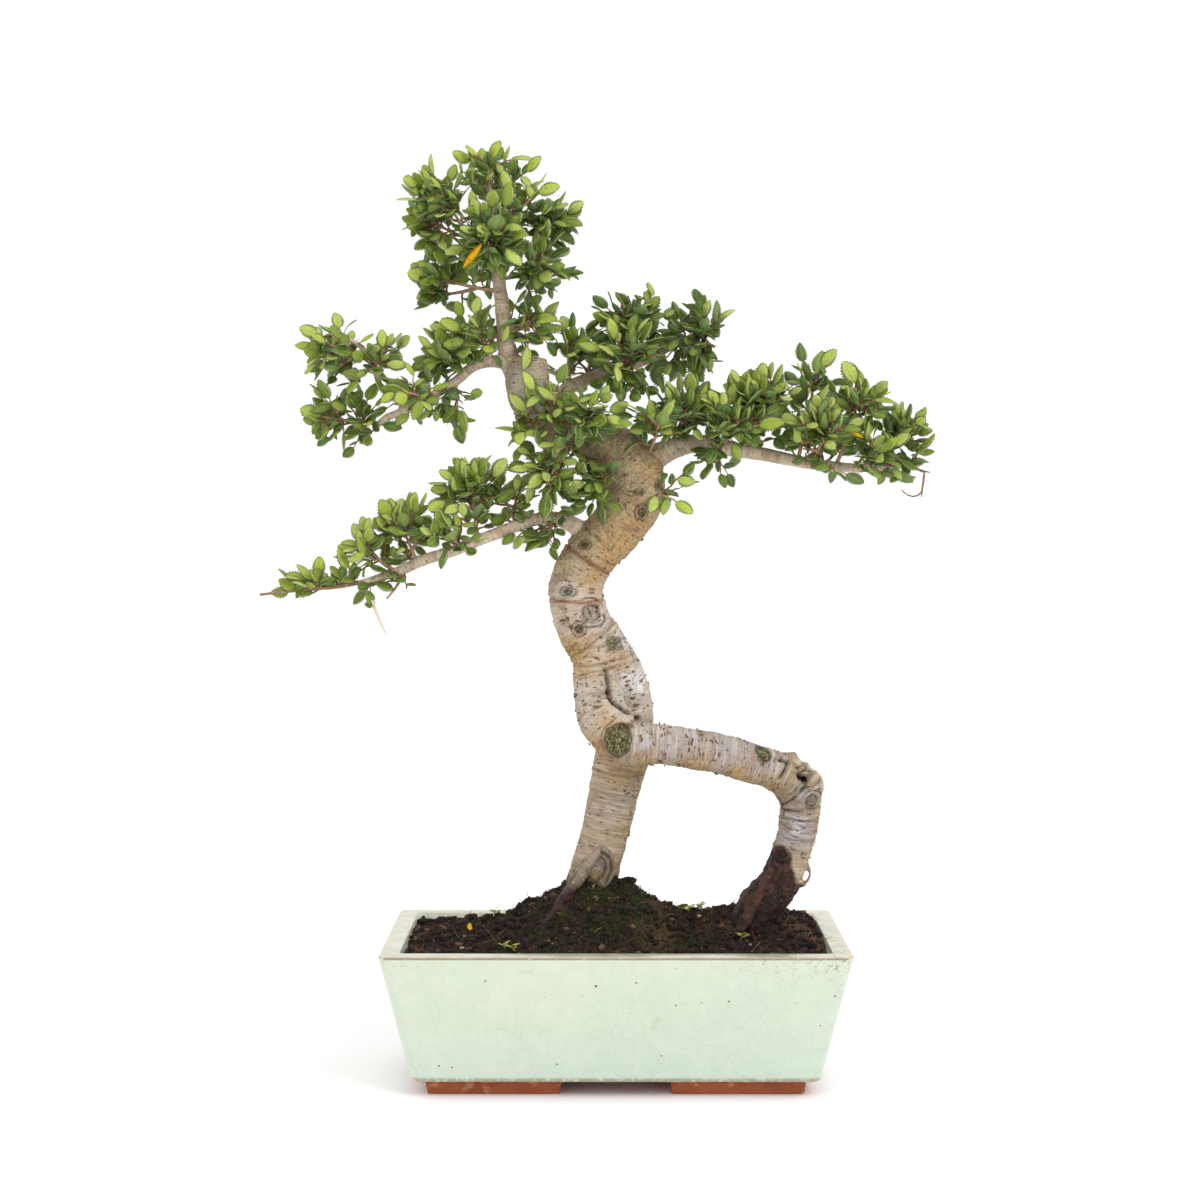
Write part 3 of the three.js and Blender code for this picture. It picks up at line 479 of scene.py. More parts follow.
def read(mesh, key):
    """Three numbers of each vertex."""
    flat = np.zeros(len(mesh.vertices) * 3, np.float32)
    mesh.vertices.foreach_get(key, flat)
    return flat.reshape(-1, 3).astype(float)


class Assembly:
    """Collects vertices, faces and what is stored on them, and makes one mesh object of them."""

    def __init__(self):
        self.points = []
        self.corners = []
        self.sizes = []
        self.slots = []
        self.uvs = []
        self.tones = []
        self.count = 0

    def add(self, points, corners, sizes, slot=0, uvs=None, tone=NO_TONE):
        points = np.asarray(points, float)
        tone = np.asarray(tone, float)
        self.points.append(points)
        self.corners.append(np.asarray(corners, int) + self.count)
        self.sizes.append(np.asarray(sizes, int))
        self.slots.append(np.full(len(sizes), slot, int))
        self.uvs.append(np.zeros((len(corners), 2)) if uvs is None else uvs)
        self.tones.append(np.tile(tone, (len(points), 1)) if tone.ndim == 1 else tone)
        self.count += len(points)

    def tube(self, points, radii, sides, slot=0, tone=NO_TONE):
        """Round tube with closed ends."""
        points = np.asarray(points, float)
        radii = np.asarray(radii, float)
        _, across, other = turned_frames(points)
        angles = np.arange(sides) * 2 * math.pi / sides
        ring = (
            across[:, None, :] * np.cos(angles)[None, :, None]
            + other[:, None, :] * np.sin(angles)[None, :, None]
        )
        cloud = (points[:, None, :] + ring * radii[:, None, None]).reshape(-1, 3)
        rows = len(points)
        corners = []
        for row in range(rows - 1):
            for side in range(sides):
                a = row * sides + side
                b = row * sides + (side + 1) % sides
                corners += [a, b, b + sides, a + sides]
        sizes = [4] * ((rows - 1) * sides) + [sides, sides]
        corners += list(range(sides))[::-1]
        corners += list(range((rows - 1) * sides, rows * sides))
        lengths = np.concatenate([[0], np.cumsum(np.linalg.norm(np.diff(points, axis=0), axis=1))])
        uv_points = np.stack([np.tile(angles / (2 * math.pi), rows), np.repeat(lengths, sides)], axis=1)
        self.add(cloud, corners, sizes, slot, uv_points[np.array(corners)], tone)

    def build(self, name, materials, slot=None, shade=True):
        """One object from all that was collected, in metres about the pot's centre."""
        points = np.concatenate(self.points) * MM + POT_CENTRE
        corners = np.concatenate(self.corners)
        sizes = np.concatenate(self.sizes)
        mesh = bpy.data.meshes.new(name)
        mesh.vertices.add(len(points))
        mesh.loops.add(len(corners))
        mesh.polygons.add(len(sizes))
        write(mesh.vertices, "co", points)
        write(mesh.polygons, "loop_start", np.concatenate([[0], np.cumsum(sizes)[:-1]]), np.int32)
        write(mesh.polygons, "vertices", corners, np.int32)
        write(mesh.polygons, "material_index", np.concatenate(self.slots), np.int32)
        mesh.update(calc_edges=True)
        write(mesh.polygons, "use_smooth", np.full(len(sizes), shade), bool)
        write(mesh.uv_layers.new(name="UVMap").data, "uv", np.concatenate(self.uvs))
        store(mesh, "tone", np.concatenate(self.tones))
        for material in materials:
            mesh.materials.append(material)
        piece = bpy.data.objects.new(name, mesh)
        bpy.context.scene.collection.objects.link(piece)
        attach(piece, "root")
        return piece


# Shader maths

class Channel:
    """A number that changes over a surface: sums on it add Math nodes."""

    def __init__(self, paint, socket):
        self.paint = paint
        self.socket = socket

    def __add__(self, other):
        return self.paint.math("ADD", self, other)

    def __sub__(self, other):
        return self.paint.math("SUBTRACT", self, other)

    def __rsub__(self, other):
        return self.paint.math("SUBTRACT", other, self)

    def __mul__(self, other):
        return self.paint.math("MULTIPLY", self, other)

    __radd__ = __add__
    __rmul__ = __mul__

    def above(self, edge, width=0.02):
        """0 below an edge and 1 above it, over a soft width."""
        return self.paint.node(
            "ShaderNodeMapRange",
            {"interpolation_type": "SMOOTHSTEP"},
            {"Value": self, "From Min": edge - width, "From Max": edge + width},
        )["Result"]

    def below(self, edge, width=0.02):
        return 1 - self.above(edge, width)

    def absolute(self):
        return self.paint.math("ABSOLUTE", self)

    def clamped(self):
        return self.paint.math("ADD", self, 0.0, clamp=True)


class Paint:
    """A material and its nodes."""

    def __init__(self, name):
        self.material = bpy.data.materials.new(name)
        self.material.use_nodes = True
        self.tree = self.material.node_tree
        self.shader = self.tree.nodes["Principled BSDF"]
        self.output = self.tree.nodes["Material Output"]

    def feed(self, socket, value):
        """Links a socket, or sets it to a number, a vector, a colour or a colour's hexadecimal code."""
        if isinstance(value, Channel):
            value = value.socket
        if isinstance(value, bpy.types.NodeSocket):
            self.tree.links.new(value, socket)
        elif socket.type == "RGBA":
            colour = tint(value) if isinstance(value, str) else value
            socket.default_value = (*colour, 1.0)
        else:
            socket.default_value = value

    def node(self, kind, settings=None, inputs=None):
        """Adds a node, with its settings first, and returns its outputs by name."""
        made = self.tree.nodes.new(kind)
        for key, value in (settings or {}).items():
            setattr(made, key, value)
        for key, value in (inputs or {}).items():
            self.feed(made.inputs[key], value)
        return {
            out.name: Channel(self, out) if out.type == "VALUE" else out
            for out in made.outputs
            if out.enabled
        }

    def math(self, operation, *values, clamp=False):
        made = {"operation": operation, "use_clamp": clamp}
        return self.node("ShaderNodeMath", made, dict(enumerate(values)))["Value"]

    def vector_math(self, operation, first, second):
        inputs = {0: first, 1: second}
        return self.node("ShaderNodeVectorMath", {"operation": operation}, inputs)["Vector"]

    def mix(self, factor, first, second):
        """Mix of two colours, by a factor that is held between 0 and 1."""
        made = self.tree.nodes.new("ShaderNodeMix")
        made.data_type = "RGBA"
        made.clamp_factor = True
        for place, value in ((0, factor), (6, first), (7, second)):
            self.feed(made.inputs[place], value)
        return made.outputs[2]

    def layered(self, colour, *layers):
        """A colour with others laid over it in turn, each where its mask says so."""
        for mask, over in layers:
            colour = self.mix(mask, colour, over)
        return colour

    def place(self):
        return self.node("ShaderNodeTexCoord")["Object"]

    def stored(self, name):
        """The three numbers of an attribute of the mesh."""
        return self.parts(self.attribute(name))

    def attribute(self, name):
        return self.node("ShaderNodeAttribute", {"attribute_name": name})["Vector"]

    def parts(self, vector):
        split = self.node("ShaderNodeSeparateXYZ", None, {"Vector": vector})
        return split["X"], split["Y"], split["Z"]

    def stretched(self, vector, x, y, z):
        return self.vector_math("MULTIPLY", vector, (x, y, z))

    def noise(self, vector, scale, detail=2.0, rough=0.5, distortion=0.0):
        """Soft random cloud from about 0 to 1."""
        inputs = {
            "Vector": vector, "Scale": scale, "Detail": detail, "Roughness": rough, "Distortion": distortion,
        }
        return self.node("ShaderNodeTexNoise", None, inputs)["Fac"]

    def cells(self, vector, scale):
        """Distance to the middle of a random cell, and a random number for each cell."""
        made = self.node("ShaderNodeTexVoronoi", None, {"Vector": vector, "Scale": scale})
        return made["Distance"], self.parts(made["Color"])[0]

    def shards(self, vector, scale):
        """Distance to the edge of a random cell."""
        settings = {"feature": "DISTANCE_TO_EDGE"}
        return self.node("ShaderNodeTexVoronoi", settings, {"Vector": vector, "Scale": scale})["Distance"]

    def bump(self, height, distance, strength=1.0):
        inputs = {"Height": height, "Distance": distance, "Strength": strength}
        return self.node("ShaderNodeBump", None, inputs)["Normal"]

    def finish(self, colour, roughness, normal=None, **constants):
        self.feed(self.shader.inputs["Base Color"], colour)
        self.feed(self.shader.inputs["Roughness"], roughness)
        if normal is not None:
            self.feed(self.shader.inputs["Normal"], normal)
        for key, value in constants.items():
            self.shader.inputs[key.replace("_", " ")].default_value = value
        return self.material


def tint(code):
    """Linear colour from its hexadecimal code."""
    values = [int(code[i:i + 2], 16) / 255 for i in (0, 2, 4)]
    return tuple(v / 12.92 if v <= 0.04045 else ((v + 0.055) / 1.055) ** 2.4 for v in values)


# Materials

def paint_bark(props):
    """Elm bark: pale and tan skin with fine rings, golden patches, corky dashes, old wounds and damp feet,
    with painted shade in its creases, hollows and cracks and a painted highlight on its palest side.
    """
    paint = Paint("elm bark")
    straight = paint.attribute("straight")
    scar, dark, damp = paint.stored("marks")
    radius, moss, ochre = paint.stored("wood")
    aged, cool, rust = paint.stored("zone")
    place = paint.place()
    level = paint.parts(place)[2]
    cloud = paint.noise(place, 34.0, 4.0, 0.62)
    speckle = paint.noise(place, 520.0, 4.0, 0.72)
    grit = paint.noise(place, 1300.0, 2.0, 0.6)
    rings = paint.noise(paint.stretched(straight, 0.035, 0.035, 0.75), 1.0, 5.0, 0.68, 0.5)
    fine_rings = paint.noise(paint.stretched(straight, 0.12, 0.12, 3.0), 1.0, 3.0, 0.6, 0.3)
    patches = paint.noise(paint.stretched(straight, 0.05, 0.05, 0.09), 1.0, 5.0, 0.65, 0.8)
    banded = rings.above(0.5, 0.2)
    lines = (rings - 0.5).absolute().below(0.014, 0.012) * patches.above(0.45, 0.1) * (0.4 + cool * 0.9)
    gap, chance = paint.cells(paint.stretched(straight, 0.15, 0.15, 0.6), 1.0)
    dashes = gap.below(0.22, 0.04) * chance.above(0.48, 0.02)
    gap, chance = paint.cells(straight, 0.5)
    specks = gap.below(0.2, 0.06) * chance.above(0.8, 0.02) * (0.3 + patches.above(0.5, 0.05))
    cracks = paint.shards(paint.stretched(place, 820.0, 500.0, 360.0), 1.0).below(0.09, 0.05)

    # Skins of each kind
    tan = paint.mix(banded, "8c7a64", props.tan_bark)
    pale = paint.mix(rings.above(0.47, 0.2), "8d8886", props.pale_bark)
    old = paint.mix(cloud.above(0.5, 0.16), "7f7052", "b3a07a")
    old = paint.mix(speckle.above(0.58, 0.06) * 0.7, old, "ccb98f")
    gold = paint.mix(speckle.above(0.45, 0.12), "8c7146", props.ochre_bark)
    young = paint.layered(
        paint.mix(banded, "ae9c86", "d8c8b0"),
        (patches.above(0.54, 0.08) * 0.5, "93704f"),
        (speckle.below(0.4, 0.04) * 0.5, "644c36"),
        (dashes * 0.7, "503a2b"),
    )
    wound = paint.mix(paint.noise(place, 420.0, 3.0, 0.6).above(0.5, 0.1), "969266", "585433")
    wound = paint.mix(cracks * 0.8, wound, "231e14")
    wet = paint.mix(paint.noise(place, 170.0, 4.0, 0.7).above(0.54, 0.06), "1d110e", "48281f")
    wet = paint.mix(speckle.above(0.6, 0.04) * 0.4, wet, "7d5848")

    colour = paint.layered(
        paint.mix(cool * 1.2 + (cloud - 0.5) * 0.9, tan, pale),
        (level.above(0.232, 0.012) * 0.4, "d6c8b4"),
        (aged * 0.85, old),
        ((ochre * 1.1 + patches.above(0.6, 0.05) * 0.25) * 0.85, gold),
        (speckle.below(0.43, 0.05) * (0.12 + aged * 0.3 + ochre * 0.2), "564830"),
        (fine_rings.above(0.58, 0.06) * 0.4, "75634f"),
        # Painted highlight: near white where the pale grey skin is strongest, on the lit side
        (cool.above(0.9, 0.08) * patches.above(0.42, 0.1) * 0.6, "dde0e1"),
        (patches.above(0.57, 0.04) * (1 - cool) * 0.5, "8a6650"),
        (lines * 0.9, "5b4835"),
        (dashes * 0.85, "553a28"),
        (specks * 0.75, "4a382a"),
        (radius.below(7.5, 3.0), young),
        (scar, wound),
        (rust * 1.15, paint.mix(grit, "4e2415", "9c5c3c")),
        (paint.noise(place, 300.0, 3.0, 0.6).above(0.42, 0.12) * moss, "3f4a1c"),
        (damp, wet),
        (rust * damp * 0.5, "5e3a2c"),
        # Dark lines of the wounds and rings, and painted shade in the creases, hollows and cracks
        (dark, "1f1710"),
    )
    height = rings * 0.5 + fine_rings * 0.25 + dashes * 0.5 + cracks * scar * -0.8 + cloud * 0.4
    height = height + speckle * (0.25 + aged * 0.8 + ochre * 0.5) + grit * 0.25
    shine = 0.74 + rings * 0.18 - damp * 0.25
    return paint.finish(colour, shine.clamped(), paint.bump(height, 0.001, 0.9), Specular_IOR_Level=0.28)


def paint_leaf(props):
    """Glossy deep green above, grey-green below, with pale ribs and a pale toothed edge that is a painted rim
    light; the tones also carry painted shade and light.
    """
    paint = Paint("elm leaf")
    along, across, _ = paint.parts(paint.node("ShaderNodeTexCoord")["UV"])
    shade, youth_and_light, autumn = paint.stored("tone")
    place = paint.place()
    under = along.above(1.5, 0.01)
    share = along - under * 2
    edge = across.absolute()
    blotch = paint.noise(place, 240.0, 3.0, 0.6)
    grove = paint.noise(place, 42.0, 2.0, 0.6)
    veins = paint.math("SINE", (share - edge * 0.2) * 56.0)
    ribs = veins.above(0.8, 0.14) * edge.above(0.06, 0.03) * edge.below(0.9, 0.05)
    midrib = edge.below(0.05, 0.04)
    # Pale band along the toothed edge, above and below: a painted rim light
    rim_light_edge = edge.above(0.8, 0.09) * share.above(0.06, 0.03)
    # The deep colour also paints shade on covered leaves, the light and young colours also paint light on
    # leaves in the open and on the lit tips
    above = paint.layered(
        paint.mix(shade.above(0.38, 0.36), props.deep_leaf, props.mid_leaf),
        (grove.above(0.56, 0.04) * shade.below(0.6, 0.2) * 0.8, props.blue_leaf),
        (shade.above(0.78, 0.2) * 0.9, props.light_leaf),
        (youth_and_light, props.young_leaf),
        (blotch.above(0.55, 0.12) * 0.35, "8da446"),
        (blotch.below(0.42, 0.08) * 0.3, "22380c"),
        (ribs * 0.35, "a3b562"),
        (midrib * 0.8, "c0cb84"),
        (rim_light_edge * 0.9, "e2e9ae"),
    )
    below = paint.layered(
        paint.mix(youth_and_light, "73905a", "a9c25a"),
        (midrib * 0.7, "cbd49c"),
        (ribs * 0.5, "b3c288"),
        (rim_light_edge * 0.5, "d5dca0"),
    )
    yellow = paint.mix(blotch.above(0.6, 0.08), "f2bc12", "d08a14")
    colour = paint.layered(above, (under, below), (autumn, yellow))
    height = veins * -0.35 * edge.below(0.95, 0.03) + midrib * 0.8 + blotch * 0.3
    rough = 0.36 + under * 0.3 + blotch * 0.12
    paint.finish(colour, rough, paint.bump(height, 0.0002, 0.9), Specular_IOR_Level=0.22)
    thin = paint.tree.nodes.new("ShaderNodeBsdfTranslucent")
    paint.feed(thin.inputs["Color"], "a2ba3c")
    blend = paint.tree.nodes.new("ShaderNodeMixShader")
    blend.inputs[0].default_value = props.leaf_glow
    for source, socket in (
        (paint.shader, blend.inputs[1]),
        (thin, blend.inputs[2]),
        (blend, paint.output.inputs["Surface"]),
    ):
        paint.tree.links.new(source.outputs[0], socket)
    return paint.material


def paint_twig():
    """Thin red-brown twigs, greyer where they are thicker."""
    paint = Paint("young twig")
    radius, _, dry = paint.stored("tone")
    cloud = paint.noise(paint.place(), 380.0, 3.0, 0.6)
    colour = paint.layered(
        paint.mix(radius.above(1.0, 0.35), "7c5640", "b89b7c"),
        (cloud.above(0.5, 0.12) * 0.7, "7a573f"),
        (cloud.above(0.6, 0.05) * 0.7, "cdb592"),
        (dry, "cfc1a2"),
    )
    return paint.finish(colour, 0.72, paint.bump(cloud, 0.0004, 0.8), Specular_IOR_Level=0.3)


def paint_glaze(props):
    """Pale crackled glaze with iron specks, thin and brown along the rim's edge."""
    paint = Paint("celadon glaze")
    place = paint.place()
    x, y, z = paint.parts(paint.vector_math("ADD", place, tuple(-POT_CENTRE)))
    aside = x.absolute()
    cloud = paint.noise(place, 9.0, 3.0, 0.55)
    mottle = paint.noise(place, 70.0, 4.0, 0.6)
    flake = paint.noise(place, 260.0, 3.0, 0.7)
    faint = paint.noise(place, 16.0, 2.0, 0.5)
    long_edge = y.absolute().above(0.0728, 0.0004) + aside.above(0.1488, 0.0004)
    bare = long_edge.clamped() * z.above(0.0934, 0.0003) * z.below(0.0946, 0.0003) * flake.above(0.34, 0.08)
    worn = (aside.above(0.146, 0.003) * z.above(0.06, 0.05)).clamped() * flake.above(0.45, 0.12)
    crackle = paint.shards(place, 95.0).below(0.013, 0.012) * faint.above(0.42, 0.14)
    fine_crackle = paint.shards(place, 210.0).below(0.016, 0.014) * faint.above(0.55, 0.1)
    specks = 0.0
    for scale, size, softness, rarity in ((120.0, 0.075, 0.02, 0.86), (46.0, 0.05, 0.012, 0.76)):
        gap, chance = paint.cells(place, scale)
        specks = gap.below(size, softness) * chance.above(rarity, 0.01) + specks
    near_edge = (z.above(0.085, 0.01) + aside.above(0.135, 0.008)) * 0.5
    right = x.above(0.06, 0.06) * x.below(0.147, 0.003) * y.below(0.0, 0.03) * z.above(0.07, 0.02) * 0.12
    stains = (paint.noise(place, 330.0, 3.0, 0.7) + right).above(0.7, 0.025) * near_edge.clamped()
    colour = paint.layered(
        paint.mix(cloud.above(0.5, 0.35) * 0.8, props.glaze, props.glaze_pool),
        (z.below(0.032, 0.03) * 0.5, "bccfc2"),
        (mottle.above(0.55, 0.16) * 0.1, "eef0dc"),
        (z.above(0.0938, 0.0008) * 0.8, paint.mix(mottle.above(0.5, 0.15), "aca88e", "c0bda4")),
        (bare * 0.8, "7a5a40"),
        (z.below(0.0132, 0.001) * flake.above(0.42, 0.1) * 0.75, "8f7a58"),
        (worn * 0.35, "b39f76"),
        (crackle * 0.2, "9d936f"),
        (fine_crackle * 0.14, "a3a182"),
        (specks, "6a4a2c"),
        (stains * 0.8, "8a5f34"),
    )
    height = mottle * 0.6 + cloud * 1.5 - crackle * 0.25 - specks * 0.5
    rough = 0.2 + mottle * 0.1 + bare * 0.4
    normal = paint.bump(height, 0.0005, 0.35)
    return paint.finish(colour, rough.clamped(), normal, Coat_Weight=0.35, Coat_Roughness=0.08)


def paint_clay(props):
    """Unglazed orange-brown clay of the feet and the underside."""
    paint = Paint("fired clay")
    place = paint.place()
    cloud = paint.noise(place, 40.0, 4.0, 0.6)
    grit = paint.noise(place, 900.0, 3.0, 0.7)
    colour = paint.layered(
        paint.mix(cloud.above(0.5, 0.2), props.clay, "9c5631"),
        (grit.above(0.6, 0.06) * 0.4, "7f3c20"),
        (paint.noise(place, 120.0, 3.0, 0.6).above(0.62, 0.05) * 0.35, "c9a07a"),
    )
    return paint.finish(colour, 0.85, paint.bump(grit + cloud, 0.0004, 0.8))


def paint_soil():
    """Dark damp peat with brown fibre, and green algae where moss grows."""
    paint = Paint("damp soil")
    place = paint.place()
    moss, light, _ = paint.stored("tone")
    cloud = paint.noise(place, 120.0, 5.0, 0.7)
    grit = paint.noise(place, 700.0, 4.0, 0.75)
    colour = paint.layered(
        paint.mix(cloud.above(0.5, 0.12), "0f0908", "2e1e19"),
        (grit.above(0.6, 0.06) * 0.6, "5a4034"),
        (light * 0.8, "7a5c46"),
        (paint.noise(place, 210.0, 3.0, 0.6).above(0.5, 0.12) * moss * 0.75, "252b14"),
    )
    return paint.finish(colour, 0.9, paint.bump(cloud * 1.2 + grit, 0.0012), Specular_IOR_Level=0.25)


def paint_cork():
    """Corky brown dashes on the bark."""
    paint = Paint("bark cork")
    shade, _, _ = paint.stored("tone")
    grain = paint.noise(paint.place(), 900.0, 3.0, 0.7)
    colour = paint.mix(shade, "5e4232", "8c6b52")
    colour = paint.mix(grain.above(0.58, 0.08) * 0.5, colour, "3d2a20")
    return paint.finish(colour, 0.85, paint.bump(grain, 0.0003, 0.8))


def paint_moss():
    """Short cushions of moss, from dark to yellow-green."""
    paint = Paint("moss")
    shade, tip, _ = paint.stored("tone")
    colour = paint.mix(tip * 0.45, paint.mix(shade, "12180a", "3a4a1c"), "8a9a48")
    return paint.finish(colour, 0.85, None, Specular_IOR_Level=0.2)


def paint_litter():
    """Fibres, husks and pebbles, each of its own colour."""
    paint = Paint("soil litter")
    shade, warm, stone = paint.stored("tone")
    grit = paint.noise(paint.place(), 600.0, 3.0, 0.7)
    colour = paint.layered(
        paint.mix(shade, "4a3226", "b08a5c"),
        (warm, "7b3f22"),
        (stone, "9b8e7c"),
        (grit.above(0.55, 0.1) * 0.4, "3a2a20"),
    )
    return paint.finish(colour, 0.8, paint.bump(grit, 0.0003, 0.8))


def paint_plastic():
    """Dark moulded net over the drainage holes."""
    paint = Paint("drainage net")
    grain = paint.noise(paint.place(), 1200.0, 2.0, 0.6)
    dust = paint.noise(paint.place(), 90.0, 4.0, 0.6).above(0.55, 0.1)
    colour = paint.mix(dust * 0.5, "25282a", "4b4037")
    return paint.finish(colour, 0.5 + grain * 0.2, paint.bump(grain, 0.0002, 0.6))


def paint_wire():
    """Dull aluminium wire with drawing lines."""
    paint = Paint("aluminium wire")
    lines = paint.noise(paint.stretched(paint.place(), 400.0, 4000.0, 400.0), 1.0, 3.0, 0.6)
    colour = paint.mix(lines, "8e9193", "b9bcbe")
    return paint.finish(colour, 0.32 + lines * 0.2, paint.bump(lines, 0.0001, 0.5), Metallic=1.0)


def paint_floor():
    """Plain white studio floor."""
    return Paint("white floor").finish((0.93, 0.93, 0.93), 0.9)


# Modelling helpers

def put(point):
    """Scene place of a point given in millimetres about the pot's centre."""
    return Vector(POT_CENTRE + np.asarray(point, float) * MM)


def only(piece):
    bpy.ops.object.select_all(action="DESELECT")
    piece.select_set(True)
    bpy.context.view_layer.objects.active = piece


def apply_place(piece):
    only(piece)
    bpy.ops.object.transform_apply(location=True, rotation=True, scale=True)


def apply_modifier(piece, kind, **settings):
    only(piece)
    made = piece.modifiers.new(kind.title(), kind)
    for key, value in settings.items():
        setattr(made, key, value)
    bpy.ops.object.modifier_apply(modifier=made.name)


def pick(piece, faces=None, edges=None):
    """In edit mode, selects the faces or the edges that pass a test."""
    bpy.ops.mesh.select_mode(type="FACE" if faces else "EDGE")
    mesh = bmesh.from_edit_mesh(piece.data)
    for item in (*mesh.verts, *mesh.edges, *mesh.faces):
        item.select = False
    chosen = mesh.faces if faces else mesh.edges
    test = faces or edges
    for item in chosen:
        if test(item):
            item.select_set(True)
    bmesh.update_edit_mesh(piece.data)


def cube(name, low, high):
    """A block between two corners in millimetres, applied and in edit mode."""
    low, high = np.array(low, float), np.array(high, float)
    bpy.ops.object.select_all(action="DESELECT")
    bpy.ops.mesh.primitive_cube_add(size=1, location=put((low + high) / 2))
    piece = bpy.context.object
    piece.name = name
    piece.scale = Vector((high - low) * MM)
    apply_place(piece)
    bpy.ops.object.mode_set(mode="EDIT")
    return piece


def round_edges(piece, test, radius, steps):
    """Rounds the edges that pass a test, in millimetres."""
    pick(piece, edges=test)
    bpy.ops.mesh.bevel(offset=radius * MM, segments=steps, affect="EDGES")


def cavity_half(z):
    """Half sizes of the pot's inside at a height."""
    share = (z - FLOOR_TOP) / (POT_TOP - FLOOR_TOP)
    low = POT_TAPER + WALL
    inset = low + (RIM_WIDTH - low) * share
    return POT_LENGTH / 2 - inset, POT_DEPTH / 2 - inset


def soil_height(x, y):
    """Height of the heaped soil, before its crumbs."""
    height = np.full(np.shape(x), SOIL_LEVEL, float)
    for middle_x, middle_y, rise, spread_x, spread_y in HEAPS:
        reach = ((x - middle_x) / spread_x) ** 2 + ((y - middle_y) / spread_y) ** 2
        height = height + rise * np.exp(-reach)
    wall_x, wall_y = cavity_half(POT_TOP)
    edge = np.minimum((wall_x - np.abs(x)) / 22, (wall_y - np.abs(y)) / 16)
    highest = POT_TOP - 4 + np.clip(edge, 0, 1) * 60
    return np.minimum(height, highest)


def roughness_at(x, y):
    """Lumps and crumbs of the soil surface, in millimetres."""
    bumps = (noise.noise(Vector((x / size, y / size, cut))) * height for size, cut, height in SOIL_LUMPS)
    return sum(bumps) + 0.8


def ground(x, y):
    """Height of the soil with its lumps."""
    return float(soil_height(x, y)) + roughness_at(x, y)


# Growth of the foliage, the same rule and draws as the solids

def stem_frame(along, facing):
    """Directions of a stem: to its side, and out of its flat spread of shoots."""
    side = unit(np.cross(facing, along))
    return side, unit(np.cross(along, side))


def turned(vector, axis, angle):
    """A vector turned about an axis."""
    part = axis * axis.dot(vector) * (1 - math.cos(angle))
    return vector * math.cos(angle) + np.cross(axis, vector) * math.sin(angle) + part


def facing_of(tip):
    """Foliage on the front of the tree faces up and forwards, on the back up and backwards."""
    return unit(np.array([0.0, -FACE_OUT if tip[1] < BACK_FROM else FACE_OUT, 1.0]))


def grow_shoot(start, direction, length, facing, draw):
    """A straight shoot, turned a little about itself: start, length, and its three directions."""
    side, lift = stem_frame(direction, facing)
    twist = 1.2 * (next(draw) - 0.5)
    # The solids draw two numbers here for each of their leaves, so the draws stay in step
    for _ in range(2 * max(2, math.floor(length / LEAF_GAP))):
        next(draw)
    return start, length, direction, turned(side, direction, twist), turned(lift, direction, twist)


def grow_stem(root, tip, reach, draw):
    """One stem from its root to the tip of its last leaf, with its shoots."""
    heading = unit(tip - root)
    end = tip - heading * LEAF_LENGTH
    length = np.linalg.norm(end - root)
    facing = facing_of(tip)
    side, lift = stem_frame(heading, facing)
    bow = 0.16 * (next(draw) - 0.5)
    sag = 0.06 + 0.06 * next(draw)
    control = (root + end) / 2 + side * bow * length - lift * sag * length
    steps = max(3, math.floor(length / STATION_GAP + 0.5))
    shares = np.arange(steps + 1)[:, None] / steps
    points = root * (1 - shares) ** 2 + control * 2 * shares * (1 - shares) + end * shares ** 2
    shoots = []
    for i in range(1, steps):
        along = unit(points[i + 1] - points[i - 1])
        sign = 1 if i % 2 == 0 else -1
        angle = 0.7 + 0.35 * next(draw)
        rise = 0.5 * (next(draw) - 0.3)
        direction = unit(along * math.cos(angle) + side * sign * math.sin(angle) + lift * rise)
        size = reach * (1 - 0.5 * i / steps) * (0.8 + 0.4 * next(draw))
        shoots.append(grow_shoot(points[i], direction, size, facing, draw))
    last = end - points[steps - 1]
    return {
        "points": points,
        "shoots": shoots,
        "tip": grow_shoot(points[steps - 1], unit(last), np.linalg.norm(last), facing, draw),
        "side": side,
        "lift": lift,
        "facing": facing,
    }


def grow_spray(entry, number):
    """The stems of one spray: the main one, and the fork where there is one."""
    limb, share, reach, tip = entry[:4]
    draw = seeded(number)
    root = LINES[limb].place(share)
    main = grow_stem(root, np.array(tip, float), reach, draw)
    stems = [main]
    if len(entry) > 4:
        points = main["points"]
        fork = points[max(1, math.floor((len(points) - 1) * 0.3 + 0.5))]
        stems.append(grow_stem(fork, np.array(entry[4], float), reach * 0.9, draw))
    return stems


def extra_shoots(stem, reach, draw):
    """Shoots all round a stem, which give the foliage its depth."""
    shoots = []
    points = stem["points"]
    for i in range(len(points) - 2):
        step = points[i + 1] - points[i]
        along = unit(points[i + 2] - points[i])
        for quarter in range(4):
            chance, lean, rise, size, place = (next(draw) for _ in range(5))
            if chance > 0.7:
                continue
            angle = 0.5 * math.pi * (quarter + 0.9 * (lean - 0.5))
            out = stem["lift"] * math.cos(angle) + stem["side"] * math.sin(angle)
            direction = unit(along * (0.3 + 0.9 * rise) + out)
            length = reach * (0.45 + 0.65 * size)
            start = points[i] + step * (0.3 + 0.7 * place)
            shoots.append(grow_shoot(start, direction, length, stem["facing"], draw))
    return shoots


# Leaves

LEAF_CELLS = 4
LEAF_NOTCHES = [0.08 + 0.108 * i for i in range(2 * LEAF_CELLS + 1)]
LEAF_TEETH = [0.08 + 0.108 * (i + 0.62) for i in range(2 * LEAF_CELLS)]


def leaf_half_width(share):
    """Half width of the blade as a share of its length: rounded at the base, drawn out to a point."""
    return 0.92 * share ** 0.74 * (1 - share) ** 0.9


